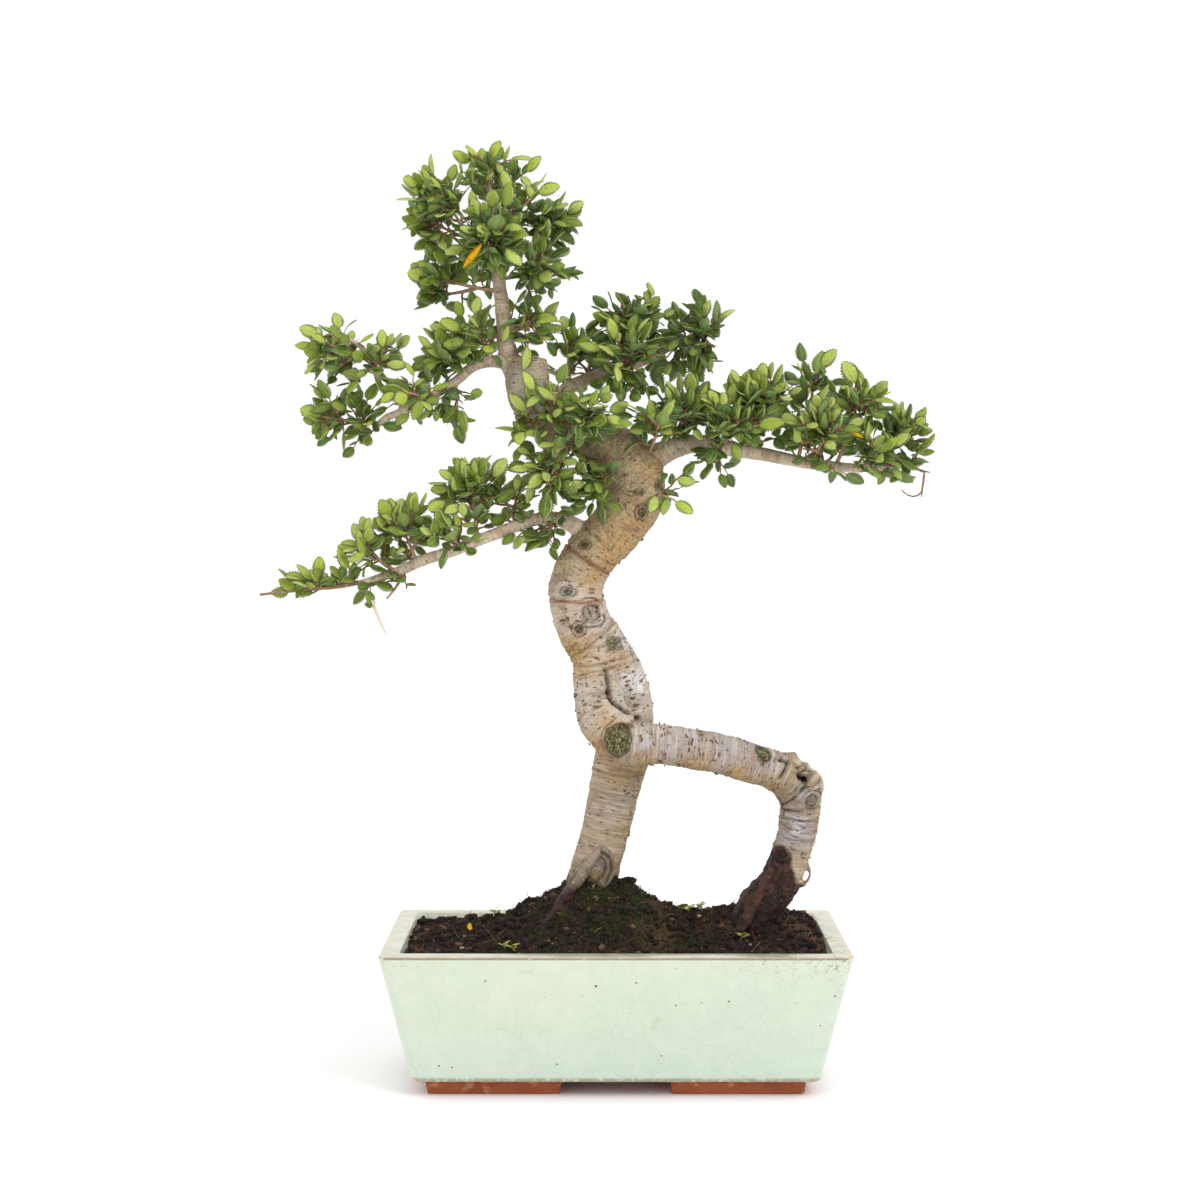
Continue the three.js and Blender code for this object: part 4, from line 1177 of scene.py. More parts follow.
def leaf_pattern():
    """Points and faces of one toothed leaf: along, across, share of the half width, underside or not."""
    rows = []

    def point(along, across, share, lower=0.0):
        rows.append((along, across, share, lower))
        return len(rows) - 1

    apex = point(1.0, 0.0, 0.0)
    stations = [LEAF_NOTCHES[2 * i] for i in range(LEAF_CELLS + 1)]
    top_rib = [point(0.0, 0.0, 0.0)] + [point(t, 0.0, 0.0) for t in stations]
    low_rib = [point(0.0, 0.0, 0.0, 1.0)] + [point(t, 0.0, 0.0, 1.0) for t in stations]
    faces = []
    for sign in (1, -1):
        stalk = point(0.0, sign * 0.018, 1.0)
        notches = [point(t, sign * max(leaf_half_width(t) * 0.81, 0.024), 1.0) for t in LEAF_NOTCHES]
        teeth = [point(t, sign * (leaf_half_width(t) * 1.05 + 0.027), 1.0) for t in LEAF_TEETH]
        middles = [point(t, sign * leaf_half_width(t) * 0.5, 0.5) for t in stations]
        upper = [[top_rib[0], stalk, notches[0], middles[0]], [top_rib[0], middles[0], top_rib[1]]]
        under = [[low_rib[0], stalk, notches[0], low_rib[1]]]
        for i in range(LEAF_CELLS):
            j = 2 * i
            border = [notches[j], teeth[j], notches[j + 1], teeth[j + 1], notches[j + 2]]
            upper.append([middles[i], *border, middles[i + 1]])
            upper.append([top_rib[i + 1], middles[i], middles[i + 1], top_rib[i + 2]])
            under.append([low_rib[i + 1], *border, low_rib[i + 2]])
        upper.append([top_rib[-1], middles[-1], notches[-1], apex])
        under.append([low_rib[-1], notches[-1], apex])
        for loop in upper:
            faces.append((loop if sign < 0 else loop[::-1], 0))
        for loop in under:
            faces.append((loop[::-1] if sign < 0 else loop, 1))
        cap = [top_rib[0], low_rib[0], stalk]
        faces.append((cap if sign < 0 else cap[::-1], 0))
    return np.array(rows), faces


LEAF_ROWS, LEAF_FACES = leaf_pattern()
# Where the most light comes from
SKY = unit(np.array([-0.3, -0.4, 0.87]))


class LeafBed:
    """Collects leaves by place, direction and form, and bends them all from one pattern."""

    def __init__(self):
        self.rows = []

    def add(self, base, along, side, lift, length, width, fold, curl, twist, tone):
        self.rows.append((*base, *along, *side, *lift, length, width, fold, curl, twist, *tone))

    def pour(self, assembly, slot):
        if not self.rows:
            return
        table = np.array(self.rows, float)
        base, along, side, lift = (table[:, i:i + 3][:, None, :] for i in (0, 3, 6, 9))
        length, width, fold, curl, twist = (table[:, i][:, None] for i in range(12, 17))
        tones = table[:, 17:20]
        t, across, share, lower = (LEAF_ROWS[:, i][None, :] for i in range(4))
        across = across * width
        turn = np.where(np.abs(curl) < 0.02, 0.02, curl)
        x = np.sin(turn * t) / turn
        z = (1 - np.cos(turn * t)) / turn
        roll = twist * t
        half = np.abs(across)
        height = half * fold - share * share * half * 0.35 - lower * (0.012 + 0.008 * (1 - t))
        y = across * np.cos(roll) - height * np.sin(roll)
        height = across * np.sin(roll) + height * np.cos(roll)
        up_x = -np.sin(turn * t) * height
        up_z = np.cos(turn * t) * height
        points = base + length[:, :, None] * (
            (x + up_x)[:, :, None] * along + y[:, :, None] * side + (z + up_z)[:, :, None] * lift
        )
        count = len(table)
        size = len(LEAF_ROWS)

        # Painted shade and light: leaves under other leaves towards the sky are darker and older, those in
        # the open light and young, as shade and sun leaves partly are in life
        middles = base[:, 0] + along[:, 0] * length * 0.5
        delta = middles[None, :, :] - middles[:, None, :]
        above = delta @ SKY
        aside = np.sqrt(np.maximum((delta ** 2).sum(axis=2) - above ** 2, 0))
        cover = bell(aside, 9) * smooth_step(1.0, 6.0, above) * (above < 45)
        lit = np.exp(-cover.sum(axis=1) / 2.4)
        tones[:, 0] = np.clip(tones[:, 0] * 1.4 - 0.5 + 0.78 * lit, 0, 1)
        tones[:, 1] *= np.where(tones[:, 2] > 0.5, 1.0, 0.35 + 0.65 * lit)
        loops = np.concatenate([face for face, _ in LEAF_FACES])
        sizes = np.array([len(face) for face, _ in LEAF_FACES])
        under = np.concatenate([np.full(len(face), flag) for face, flag in LEAF_FACES])
        uvs = np.stack([
            LEAF_ROWS[loops, 0] + under * 2,
            LEAF_ROWS[loops, 2] * np.sign(LEAF_ROWS[loops, 1]),
        ], axis=1)
        corners = (loops[None, :] + np.arange(count)[:, None] * size).ravel()
        assembly.add(
            points.reshape(-1, 3), corners, np.tile(sizes, count), slot,
            np.tile(uvs, (count, 1)), np.repeat(tones, size, axis=0),
        )


def in_clearing(place):
    """Whether a place lies in one of the gaps between the parts of the crown."""
    return any(math.hypot(place[0] - x, place[2] - z) < size for x, z, size in CLEARINGS)


def dress_shoot(shoot, assembly, leaves, youth_and_light, draw, leaf_size=1.0):
    """Twig and leaves of one shoot, with the small turns of real leaves."""
    start, length, along, side, lift = shoot
    droop = 0.6 * length * (next(draw) - 0.55)
    shares = np.linspace(0, 1, 5)
    points = start + np.outer(shares * length, along) + np.outer(shares ** 2 * droop, lift)
    if in_clearing(points[-1]) or in_clearing(points[3]):
        return
    zigzag = np.array([0, 1, -1, 1, 0]) * 0.4
    points = points + np.outer(zigzag, side)
    radii = np.interp(shares, [0, 1], [0.8, 0.4])
    assembly.tube(points, radii, 4, 1, (0.75, 0.0, 0.0))
    count = max(2, round(length / LEAF_STEP))
    hue = next(draw)
    for i in range(1, count + 1):
        share = i / count
        last = i == count
        base = start + along * length * share + lift * share ** 2 * droop
        sign = 1 if i % 2 == 0 else -1
        angle = 0.5 * (next(draw) - 0.5) if last else sign * (0.85 + 0.5 * next(draw))
        size = 0.36 + 0.4 * next(draw) + 0.13 * share + (0.1 if last else 0.0)
        pitch = 1.1 * (next(draw) - 0.4)
        roll = 2.1 * (next(draw) - 0.5)
        rise = 0.12 * abs(math.sin(angle)) + pitch
        direction = unit(along * math.cos(angle) + side * math.sin(angle) + lift * rise)
        across = turned(unit(np.cross(lift * 0.6 + facing_of(base) * 0.7, direction)), direction, roll)
        normal = np.cross(direction, across)
        age_and_light = youth_and_light * smooth_step(0.1, 1.0, share) * (0.35 + 1.0 * next(draw))
        width, fold, curl, twist, shade = (next(draw) for _ in range(5))
        blade = LEAF_LENGTH * size * leaf_size
        if in_clearing(base + direction * blade * 0.6):
            continue
        tone = 0.45 * hue + 0.55 * shade
        leaves.add(
            base, direction, across, normal, blade,
            0.92 + 0.3 * width,
            0.05 + 0.4 * fold,
            -0.9 + 1.2 * curl,
            0.8 * (twist - 0.5),
            (tone, min(age_and_light, 1.0), 0.0),
        )


def dress_stem(stem, reach, assembly, leaves, density, youth_and_light, draw):
    """All twigs and leaves of one stem."""
    points = stem["points"]
    shares = np.linspace(0, 1, len(points))
    radii = np.interp(shares, [0, 1], [TWIG_RADIUS * 1.3, TWIG_RADIUS * 0.6])
    assembly.tube(points, radii, 6, 1, (1.2, 0.0, 0.0))
    for i, shoot in enumerate(stem["shoots"]):
        dress_shoot(shoot, assembly, leaves, youth_and_light * (0.4 + 0.6 * i / len(stem["shoots"])), draw)
    dress_shoot(stem["tip"], assembly, leaves, min(youth_and_light + 0.35, 1.0), draw, 1.08)
    for shoot in extra_shoots(stem, reach * density, draw):
        dress_shoot(shoot, assembly, leaves, youth_and_light * 0.35, draw, 0.9)


def youth_and_light_at(tip):
    """How young the leaves are, with painted backlight: most at the outer tips of the left side and the top,
    where the young colour also stands for light shining through
    """
    left = smooth_step(-40.0, -170.0, tip[0])
    right = smooth_step(90.0, 190.0, tip[0])
    top = smooth_step(545.0, 600.0, tip[2])
    front = smooth_step(20.0, -50.0, tip[1])
    return float(min(0.24 + 0.5 * left + 0.25 * right + 0.5 * top + 0.1 * front, 1.0))


def bearing_points(stems):
    """Places that a filling shoot may leave from: along the limbs and along the stems of the sprays."""
    on_limbs = [LINES[name].place(share) for name in BEARING_LIMBS for share in np.linspace(0.05, 1.0, 40)]
    on_stems = [point for group in stems.values() for stem in group for point in stem["points"][:-1]]
    return np.array(on_limbs + on_stems)


def nearest_part(tip, stems):
    """The foliage piece whose sprays are nearest to a tip."""
    gaps = {
        number: min(np.linalg.norm(stem["points"] - tip, axis=1).min() for stem in group)
        for number, group in stems.items()
    }
    nearest = min(gaps, key=gaps.get)
    return next(name for name, numbers in CROWN_PARTS.items() if nearest in numbers)


def dress_sprays(stems, parts, density):
    """Twigs and leaves of every spray."""
    for name, numbers in CROWN_PARTS.items():
        for number in numbers:
            draw = seeded(number + SPRAY_SEED)
            for stem in stems[number]:
                youth_and_light = youth_and_light_at(stem["points"][-1])
                dress_stem(stem, SPRAYS[number - 1][2], *parts[name], density, youth_and_light, draw)


def fill_crown(stems, places, parts, density):
    """Shoots between the sprays, each from the nearest place that may bear it."""
    for number, tip in enumerate(np.array(FILLERS, float), 1):
        draw = seeded(number + FILLER_SEED)
        gaps = np.linalg.norm(places - tip, axis=1)
        root = places[int(np.argmin(np.where(gaps < 9, 99.0, gaps)))]
        reach = np.linalg.norm(tip - root)
        part = parts[nearest_part(tip, stems)]
        youth_and_light = youth_and_light_at(tip)
        if reach < SHORT_REACH:
            shoot = grow_shoot(root, unit(tip - root), reach - LEAF_PAST_END, facing_of(tip), draw)
            dress_shoot(shoot, *part, youth_and_light, draw)
        else:
            stem = grow_stem(root, tip, FILLER_REACH, draw)
            dress_stem(stem, FILLER_REACH, *part, density, youth_and_light, draw)


def hang_yellow_leaves(places, parts):
    """The yellowed leaves, each on a twig from the nearest stem."""
    for name, base, tip in YELLOW_LEAVES:
        assembly, leaves = parts[name]
        base = np.array(base)
        span = np.array(tip, float) - base
        length = np.linalg.norm(span)
        direction = unit(span)
        across = unit(np.cross(direction, np.array([0.2, -1.0, 0.3])))
        normal = np.cross(direction, across)
        root = places[int(np.argmin(np.linalg.norm(places - base, axis=1)))]
        assembly.tube([root, (root + base) / 2 + 2 * UP, base], [0.9, 0.7, 0.45], 5, 1, (0.9, 0.0, 0.0))
        leaves.add(base, direction, across, normal, length, 0.42, 0.3, -0.5, 0.2, (0.5, 0.5, 1.0))


# Bark relief, in millimetres about the pot's centre

# Old wounds on the front: x, z, half width, half height, kind
WOUNDS = [
    (1.3, 227.3, 9, 11, "plate"), (96.2, 216.9, 5, 6.2, "plate"), (-15.7, 308.2, 11, 9.6, "swirl"),
    (-23.9, 297.4, 5, 5.2, "eye"), (-31, 321.6, 5.4, 3.4, "eye"), (-0.5, 287.9, 6.4, 5, "patch"),
    (16.9, 373.3, 5, 5, "eye"), (14.5, 386, 3.4, 1.8, "patch"), (27.5, 390.5, 3.4, 3.4, "eye"),
    (-20, 352, 4.2, 3, "eye"), (7, 236, 4.5, 2.2, "patch"), (109.5, 148.6, 5.5, 5.5, "eye"),
    (128, 185.5, 7.6, 6.2, "swirl"),
]

# Rings round a limb: left x and z, right x and z, depth, half width, redness, wave
RINGS = [
    (-30.5, 351.8, -5.7, 334.8, 1.2, 0.9, 1, 0.4), (-42.2, 317, -8.9, 316.8, 1.3, 0.9, 1, 0.6),
    (-24, 346, -2, 331, 0.6, 0.7, 0.5, 0.6), (-18, 344.5, 0, 333.5, 0.6, 0.7, 0.5, 0.7),
    (-14, 346.5, 3, 337.5, 0.5, 0.7, 0.5, 0.7), (-40, 282, -4, 290, 0.5, 0.7, 0.2, 0.8),
    (-27.5, 274.4, 7.1, 280.2, 0.8, 0.7, 0.45, 0.5), (-24.6, 270.1, 8.5, 276.6, 0.6, 0.6, 0.4, 0.7),
    (-26.1, 267.2, -1.6, 274.4, 0.6, 0.6, 0.3, 0.8), (-28, 280.2, -1.6, 301.2, 0.7, 0.7, 0.35, 0.8),
    (-26, 288, 4, 299, 0.5, 0.6, 0.1, 0.9), (-14, 203, 22, 199, 0.8, 0.8, 0.3, 0.6),
    (-14, 190, 20, 186, 0.3, 0.6, 0.15, 0.9), (-20, 166, 10, 163, 0.35, 0.6, 0.1, 0.9),
    (30, 232, 33, 206, 0.4, 0.8, 0, 0.9), (62, 228, 58, 202, 0.4, 0.8, 0.1, 0.9),
    (112.5, 179.9, 134.6, 180.8, 1.2, 1, 0.2, 0.6), (112.5, 173.8, 132.4, 172.8, 1.2, 0.8, 0.2, 0.6),
    (111.8, 168.3, 131.7, 165.2, 0.9, 0.8, 0.15, 0.8), (110, 161, 130, 158, 0.6, 0.8, 0.1, 0.9),
    (108, 154, 128, 152, 0.4, 0.8, 0.1, 0.9),
]

# Cuts and folds drawn on the front: points as x and z, depth, half width, moss
FOLDS = [
    ([(-6.6, 271.0), (-5.6, 262.5), (-5.2, 257.0)], 1.3, 1.2, 0.5),
    ([(-5.3, 258.0), (-4.4, 254.0), (-1.6, 250.2), (5.6, 244.5), (13.4, 238.0)], 4.0, 1.3, 0.4),
    ([(-19.5, 362.9), (-12.0, 357.0), (-4.4, 348.1)], 1.2, 1.0, 0.0),
    ([(109.6, 216.4), (111.6, 210.2), (109.3, 204.9), (106.3, 201.0)], 2.2, 0.9, 0.1),
    ([(125.4, 196.2), (121.1, 193.1), (115.5, 186.5), (111.0, 182.3)], 2.0, 0.8, 0.0),
    ([(117.6, 206.5), (122.5, 208.0), (128.5, 205.5)], 1.6, 0.8, 0.0),
    ([(107.5, 186.0), (109.5, 182.3), (110.5, 175.5)], 2.4, 1.2, 0.3),
    (
        [(98.3, 145.3), (104.4, 151.5), (109.8, 153.8), (114.2, 148.4), (115.5, 139.2), (118.3, 129.9)],
        1.2, 0.7, 0.0,
    ),
    ([(-9.0, 150.5), (-3.5, 146.5), (-2.5, 139.0), (-6.0, 131.0)], 1.6, 0.9, 0.6),
    ([(-21.5, 143.0), (-27.5, 134.0), (-35.0, 122.0)], 1.2, 0.8, 0.1),
]

# Hollows rotted into the gnarled knee and beside it: x, z, radius, depth
PITS = [
    (119.6, 201.2, 2.6, 6), (123, 199.4, 2.4, 6), (128.4, 199.6, 3, 8), (131.6, 197.6, 2.4, 7),
    (126, 201.4, 2, 5), (109.3, 183, 1.7, 3), (110.4, 178.2, 1.5, 2.4), (-11.5, 311.5, 1.3, 1.6),
    (-8, 305.5, 1.4, 1.6),
]

# Torn reddish wood: points as x and z, half width
TEARS = [
    ([(122.0, 204.6), (127.5, 202.6), (133.0, 199.6), (137.0, 196.0)], 1.5),
    ([(101.4, 137.0), (98.4, 129.9), (94.6, 120.6), (87.8, 108.2)], 4.0),
    ([(106.0, 150.5), (110.5, 152.0), (113.5, 146.0)], 2.2),
]

# Swellings: x, z, radius, height
SWELLINGS = [
    (115.2, 212, 4.6, 4.2), (106.5, 212.5, 3.6, 1.6), (123.5, 206.8, 3.4, 2.8), (130.5, 204.6, 3.4, 3.2),
    (136, 200.2, 2.8, 4), (116.5, 198.5, 4, 3.4), (111.5, 193.5, 4.6, 2.6), (125.6, 194.2, 3.2, 2.6),
    (133, 191.5, 3.6, 2.2), (119.5, 187.5, 4, 1.6), (117, 200, 2.6, 2.2), (112.5, 198, 3, 2),
    (104, 200, 4, 1.2), (109.5, 151, 5, 1.6), (-33, 291, 3, 1.2), (-36, 300, 2.5, 0.8), (-28, 242, 5, 1.2),
    (-24, 230, 4, 1), (-1.2, 262, 4.5, 1.4), (27, 392, 3, 1), (28, 385, 2.5, 0.9), (-14, 134, 4, 2.4),
]

# Corky dashes close together on the pale side of the trunk: x, z, half width
DASHES = [
    (14, 275.5, 2), (6, 272.1, 2.6), (10.6, 268.9, 2), (4.7, 265.6, 2.6), (16.4, 262.4, 1.2), (8, 263, 1.6),
    (6, 260, 3), (9.6, 257.1, 1.4), (17.1, 253.2, 2.2), (11.2, 251.9, 1.6), (2.1, 251.3, 2),
    (12.2, 246.7, 3), (20.5, 246, 1.4), (3, 279.5, 1.6), (9, 284, 1.2), (-31, 262, 1), (-24, 262.5, 1.2),
    (-12, 248.5, 2.4), (-27, 238, 1.6), (-21, 219.5, 1.8),
]

# Limbs with scattered dashes: from and to, as parts of the length, and the share of the dashes
CORKY_LIMBS = [("trunk", 0.06, 0.72, 0.25), ("rearLeg", 0.15, 0.85, 0.2), ("frontLeg", 0.12, 0.78, 0.55)]

# Colour of the skin: x, z, reach, share
OCHRE_PLACES = [
    (-26.8, 281.7, 12, 1), (-14.5, 329.3, 9, 0.8), (-12, 221, 9, 0.9), (-4, 340, 9, 1), (2, 352, 15, 0.9),
    (14, 362, 14, 0.8), (-10, 372, 9, 0.9), (50, 205, 14, 0.8), (20, 209, 10, 0.8), (80, 200, 13, 0.8),
    (100, 196, 9, 0.7), (-20, 270, 6, 0.6), (4, 204, 10, 0.5), (24, 400, 10, 0.6),
]
# Pale grey skin; where it is strongest the bark is also given a painted highlight
COOL_PLACES = [
    (12, 262, 17, 1.1), (2, 286, 11, 0.9), (45, 225, 22, 0.8), (75, 219, 20, 0.8), (20, 228, 12, 0.8),
    (118, 166, 13, 0.9), (-8, 305, 9, 0.7), (-22, 252, 13, 0.6), (97, 210, 12, 0.7), (124, 190, 9, 0.6),
    (-2, 180, 12, 0.3), (-8, 140, 9, 0.4), (-36, 325, 11, 0.5), (-57, 458, 20, 0.5),
]

# The crossing of the legs, as x and z, and the knee
CROTCH = (-3.0, 252.0)
KNEE = np.array([120.0, -4.0, 199.0])

# Upper edge of the damp bark at the foot of the front leg, as x and z
FOOT_EDGE = [
    (80, 132), (94, 141), (98.3, 145.3), (104.4, 151.5), (109.8, 153.4), (113.9, 148.4), (115.5, 139.2),
    (118.3, 129.9), (126, 122),
]


def front_place(tree, x, z):
    """The front surface of the wood at a place, and the way that it faces."""
    place, normal, _, _ = tree.ray_cast(Vector((x, -300.0, z)), Vector((0.0, 1.0, 0.0)))
    if place is None:
        place, normal, _, _ = tree.find_nearest(Vector((x, -25.0, z)))
    return np.array(place), np.array(normal)


def straighten(points):
    """Places along and round the nearest limb, and that limb's radius, for each point."""
    best = np.full(len(points), 1e9)
    straight = np.zeros((len(points), 3))
    radius = np.zeros(len(points))
    offset = 0.0
    for name, line in LINES.items():
        places, radii, lengths = line.samples(2.0)
        along, across, other = turned_frames(places)
        start = {"rearLeg": -30.0, "frontLeg": -30.0, "trunk": 0.0}.get(name, offset)
        for first in range(0, len(points), 8000):
            part = slice(first, first + 8000)
            chunk = points[part]
            gaps = np.linalg.norm(chunk[:, None, :] - places[None, :, :], axis=2)
            near = gaps.argmin(axis=1)
            rows = np.arange(len(chunk))
            gap = gaps[rows, near] - radii[near]
            delta = chunk - places[near]
            run = lengths[near] + (delta * along[near]).sum(axis=1)
            if name in ("rearLeg", "frontLeg"):
                run = -run
            a = (delta * across[near]).sum(axis=1)
            b = (delta * other[near]).sum(axis=1)
            found = np.stack([a, b, run + start], axis=1)
            better = gap < best[part]
            best[part] = np.where(better, gap, best[part])
            straight[part] = np.where(better[:, None], found, straight[part])
            radius[part] = np.where(better, radii[near], radius[part])
        offset += 150.0
    return straight, radius


def noise_of(points, scale, seed=0.0):
    """Soft noise from -1 to 1 at each point, with bumps of about a given size."""
    cells = points / scale + np.array([seed, 0.37, 0.71])
    low = np.floor(cells)
    part = cells - low
    fade = part ** 3 * (part * (part * 6 - 15) + 10)
    total = np.zeros(len(points))
    for bits in range(8):
        step = np.array([bits & 1, bits >> 1 & 1, bits >> 2], float)
        key = (low + step) @ np.array([12.9898, 78.233, 37.719])
        slopes = np.stack([np.sin(key + turn) * 43758.5453 % 1.0 for turn in (0.0, 1.7, 3.1)], axis=1) * 2 - 1
        weight = np.prod(np.where(step > 0, fade, 1 - fade), axis=1)
        total += weight * (slopes * (part - step)).sum(axis=1)
    return np.clip(total * 1.25, -1, 1)


def line_distance(points, corners):
    """Distance of each point to a line of straight stretches."""
    best = np.full(len(points), 1e9)
    for a, b in zip(corners[:-1], corners[1:]):
        span = b - a
        share = np.clip(((points - a) @ span) / span.dot(span), 0, 1)
        best = np.minimum(best, np.linalg.norm(points - a - share[:, None] * span, axis=1))
    return best


def carve_wound(points, normals, centre, facing, half_x, half_z, kind, seed):
    """Relief, wound colour and dark lines of one old wound."""
    right = unit(np.cross(facing, UP))
    up = unit(np.cross(right, facing))
    delta = points - centre
    x = delta @ right / half_x
    z = delta @ up / half_z
    near = (np.abs(delta @ facing) < 10) & (normals @ facing > 0.1)
    wobble = 1 + noise_of(points, 5.0, seed * 2.3) * 0.1
    power = 4.0 if kind == "patch" else 2.0
    reach = (np.abs(x) ** power + np.abs(z) ** power) ** (1 / power) * wobble
    reach = np.where(near, reach, 9.0)
    turn = np.arctan2(z, x)
    size = min(half_x, half_z)
    thin = 0.55 / size

    def line(place, strength=1.0):
        return bell(reach - place, thin) * strength

    crackle = noise_of(points, 1.5, seed)
    if kind == "plate":
        inside = 1 - smooth_step(0.84, 0.94, reach)
        lip = bell(reach - 1.05, 0.12)
        dark = line(0.94) + line(1.17, 0.8) * (np.abs(turn) < 1.3)
        return 0.1 * size * lip - 0.8 * inside + 0.8 * crackle * inside, inside, dark
    if kind == "patch":
        inside = 1 - smooth_step(0.8, 0.95, reach)
        return 0.6 * crackle * inside - 0.3 * inside, inside * 0.85, line(0.95, 0.6)
    if kind == "swirl":
        core = 1 - smooth_step(0.42, 0.56, reach)
        lip = bell(reach - 0.8, 0.18)
        cracks = bell(x - 0.12 - z * 0.3, 0.05) * (np.abs(z) < 0.3) * core
        dark = line(0.55) + line(1.02) * smooth_step(0.6, 1.3, np.abs(turn)) + cracks
        dark += line(0.72, 0.7) * (turn < -0.3) * (turn > -2.4)
        return 0.13 * size * lip + 0.05 * size * core - dark * 0.7, core * 0.4, dark
    core = 1 - smooth_step(0.38, 0.52, reach)
    lip = bell(reach - 0.74, 0.16)
    dark = line(0.5) + line(1.0, 0.85)
    return 0.2 * size * lip - 0.5 * core + 0.3 * crackle * core - dark * 0.4, core, dark


def share_near(points, places, wobble, seed):
    """Strength of a colour from 0 to 1, where each place gives it off."""
    share = np.zeros(len(points))
    rough = 1 + wobble * noise_of(points, 5.0, seed)
    for x, z, size, most in places:
        gap = np.hypot(points[:, 0] - x, points[:, 2] - z)
        share = np.maximum(share, most * bell(gap, size) * rough)
    return np.clip(share, 0, 1)


def build_wood(props):
    """The whole woody part: limbs joined into one skin, then sculpted."""
    rough = Assembly()
    for name, line in LINES.items():
        places, radii, _ = line.samples(2.5)
        sides = 28 if radii.max() > 10 else 14
        rough.tube(places, radii * props.thickness, sides)
    piece = rough.build("wood", [])
    apply_modifier(piece, "REMESH", mode="VOXEL", voxel_size=props.skin_step * MM, use_smooth_shade=True)
    apply_modifier(piece, "SMOOTH", factor=0.5, iterations=4)
    mesh = piece.data
    points = (read(mesh, "co") - POT_CENTRE) / MM
    normals = read(mesh, "normal")
    mesh.calc_loop_triangles()
    triangles = [tuple(t.vertices) for t in mesh.loop_triangles]
    tree = BVHTree.FromPolygons([tuple(p) for p in points], triangles)
    straight, radius = straighten(points)

    # Long swellings, rings across the grain and fine wrinkles
    thick = smooth_step(4.0, 11.0, radius)
    relief = noise_of(points, 21.0, 3.0) * 1.1 * thick
    relief += noise_of(points, 8.0, 9.0) * (0.25 + 0.4 * thick)
    cool = share_near(points, COOL_PLACES, 0.35, 41.0)
    rings = noise_of(straight * np.array([0.1, 0.1, 0.42]), 1.0, 5.0)
    relief += rings * (0.15 + (0.22 + 0.25 * cool) * thick)
    relief += noise_of(straight * np.array([0.16, 0.16, 0.8]), 1.0, 2.0) * 0.3 * thick
    scar, dark, moss, rust = np.zeros((4, len(points)))

    for seed, (x, z, half_x, half_z, kind) in enumerate(WOUNDS):
        centre, facing = front_place(tree, x, z)
        rise, inner, outline = carve_wound(points, normals, centre, facing, half_x, half_z, kind, seed)
        relief += rise
        scar = np.maximum(scar, inner)
        dark = np.maximum(dark, outline * 0.9)

    for seed, (xa, za, xb, zb, depth, width, redness, wave) in enumerate(RINGS):
        a, b = np.array([xa, 0.0, za]), np.array([xb, 0.0, zb])
        normal = unit(np.cross(b - a, np.array([0.0, 1.0, 0.12])))
        middle = (a + b) / 2
        reach = np.linalg.norm(b - a) * 0.5 + 9
        offset = (points - middle) @ normal + noise_of(points, 9.0, seed * 3.7) * wave * 1.6
        near = 1 - smooth_step(reach, reach + 5, np.linalg.norm(points - middle, axis=1))
        strength = near * np.clip(0.75 + 0.6 * noise_of(points, 12.0, seed * 5.1 + 2), 0, 1)
        cut = bell(offset, width) * strength
        lip = bell(np.abs(offset) - width * 1.9, width) * strength
        relief += lip * depth * 0.5 - cut * depth
        rust = np.maximum(rust, cut * redness)
        dark = np.maximum(dark, cut * min(depth, 1.0) * 0.7 * (1 - redness))

    for corners, depth, width, green in FOLDS:
        gap = line_distance(points, [front_place(tree, x, z)[0] for x, z in corners])
        cut = bell(gap, width)
        relief += 0.3 * depth * bell(gap - 2.4 * width, 1.2 * width) - depth * cut
        # Painted shade in the cut, darker where it is deeper
        dark = np.maximum(dark, cut * min(depth / 2, 1.0))
        moss = np.maximum(moss, green * bell(gap, width * 2.0))

    for x, z, size, height in SWELLINGS:
        centre, _ = front_place(tree, x, z)
        relief += height * bell(np.linalg.norm(points - centre, axis=1), size)

    for corners, width in TEARS:
        gap = line_distance(points, [front_place(tree, x, z)[0] for x, z in corners])
        torn = bell(gap, width, 4)
        relief += noise_of(points, 2.4, width) * 1.6 * torn
        rust = np.maximum(rust, torn * 0.75)

    for x, z, size, depth in PITS:
        centre, _ = front_place(tree, x, z)
        inside = bell(np.linalg.norm(points - centre, axis=1), size, 4)
        relief -= depth * inside
        # Painted shade: the inside of the hollow is dark
        dark = np.maximum(dark, inside)
        rust *= 1 - inside

    # Skin creased by the bend above the crossing, and the gnarled knee
    crotch, _ = front_place(tree, *CROTCH)
    delta = points - crotch
    spread = np.hypot(delta[:, 0], delta[:, 2])
    turn = np.arctan2(delta[:, 2], -delta[:, 0])
    sector = smooth_step(-1.3, -0.7, turn) * (1 - smooth_step(0.9, 1.4, turn)) * (points[:, 1] < 0)
    fade = smooth_step(3, 6, spread) * (1 - smooth_step(11, 19, spread))
    wrinkle = np.sin(turn * 17 + noise_of(points, 10.0, 4.0) * 2.5) * sector * fade
    relief += wrinkle * 0.5
    # Painted shade in the troughs of the wrinkles
    dark = np.maximum(dark, 0.35 * smooth_step(0.5, 1.0, -wrinkle))
    knee = bell(np.linalg.norm(points - KNEE, axis=1), 17.0)
    relief += noise_of(points, 4.5, 11.0) * 1.5 * knee + np.abs(noise_of(points, 2.6, 17.0)) * 1.3 * knee
    crack = knee * (1 - smooth_step(0.02, 0.07, np.abs(noise_of(points, 7.5, 23.0))))
    relief -= crack * 0.6
    # Painted shade in the cracks of the knee
    dark = np.maximum(dark, crack * 0.8)

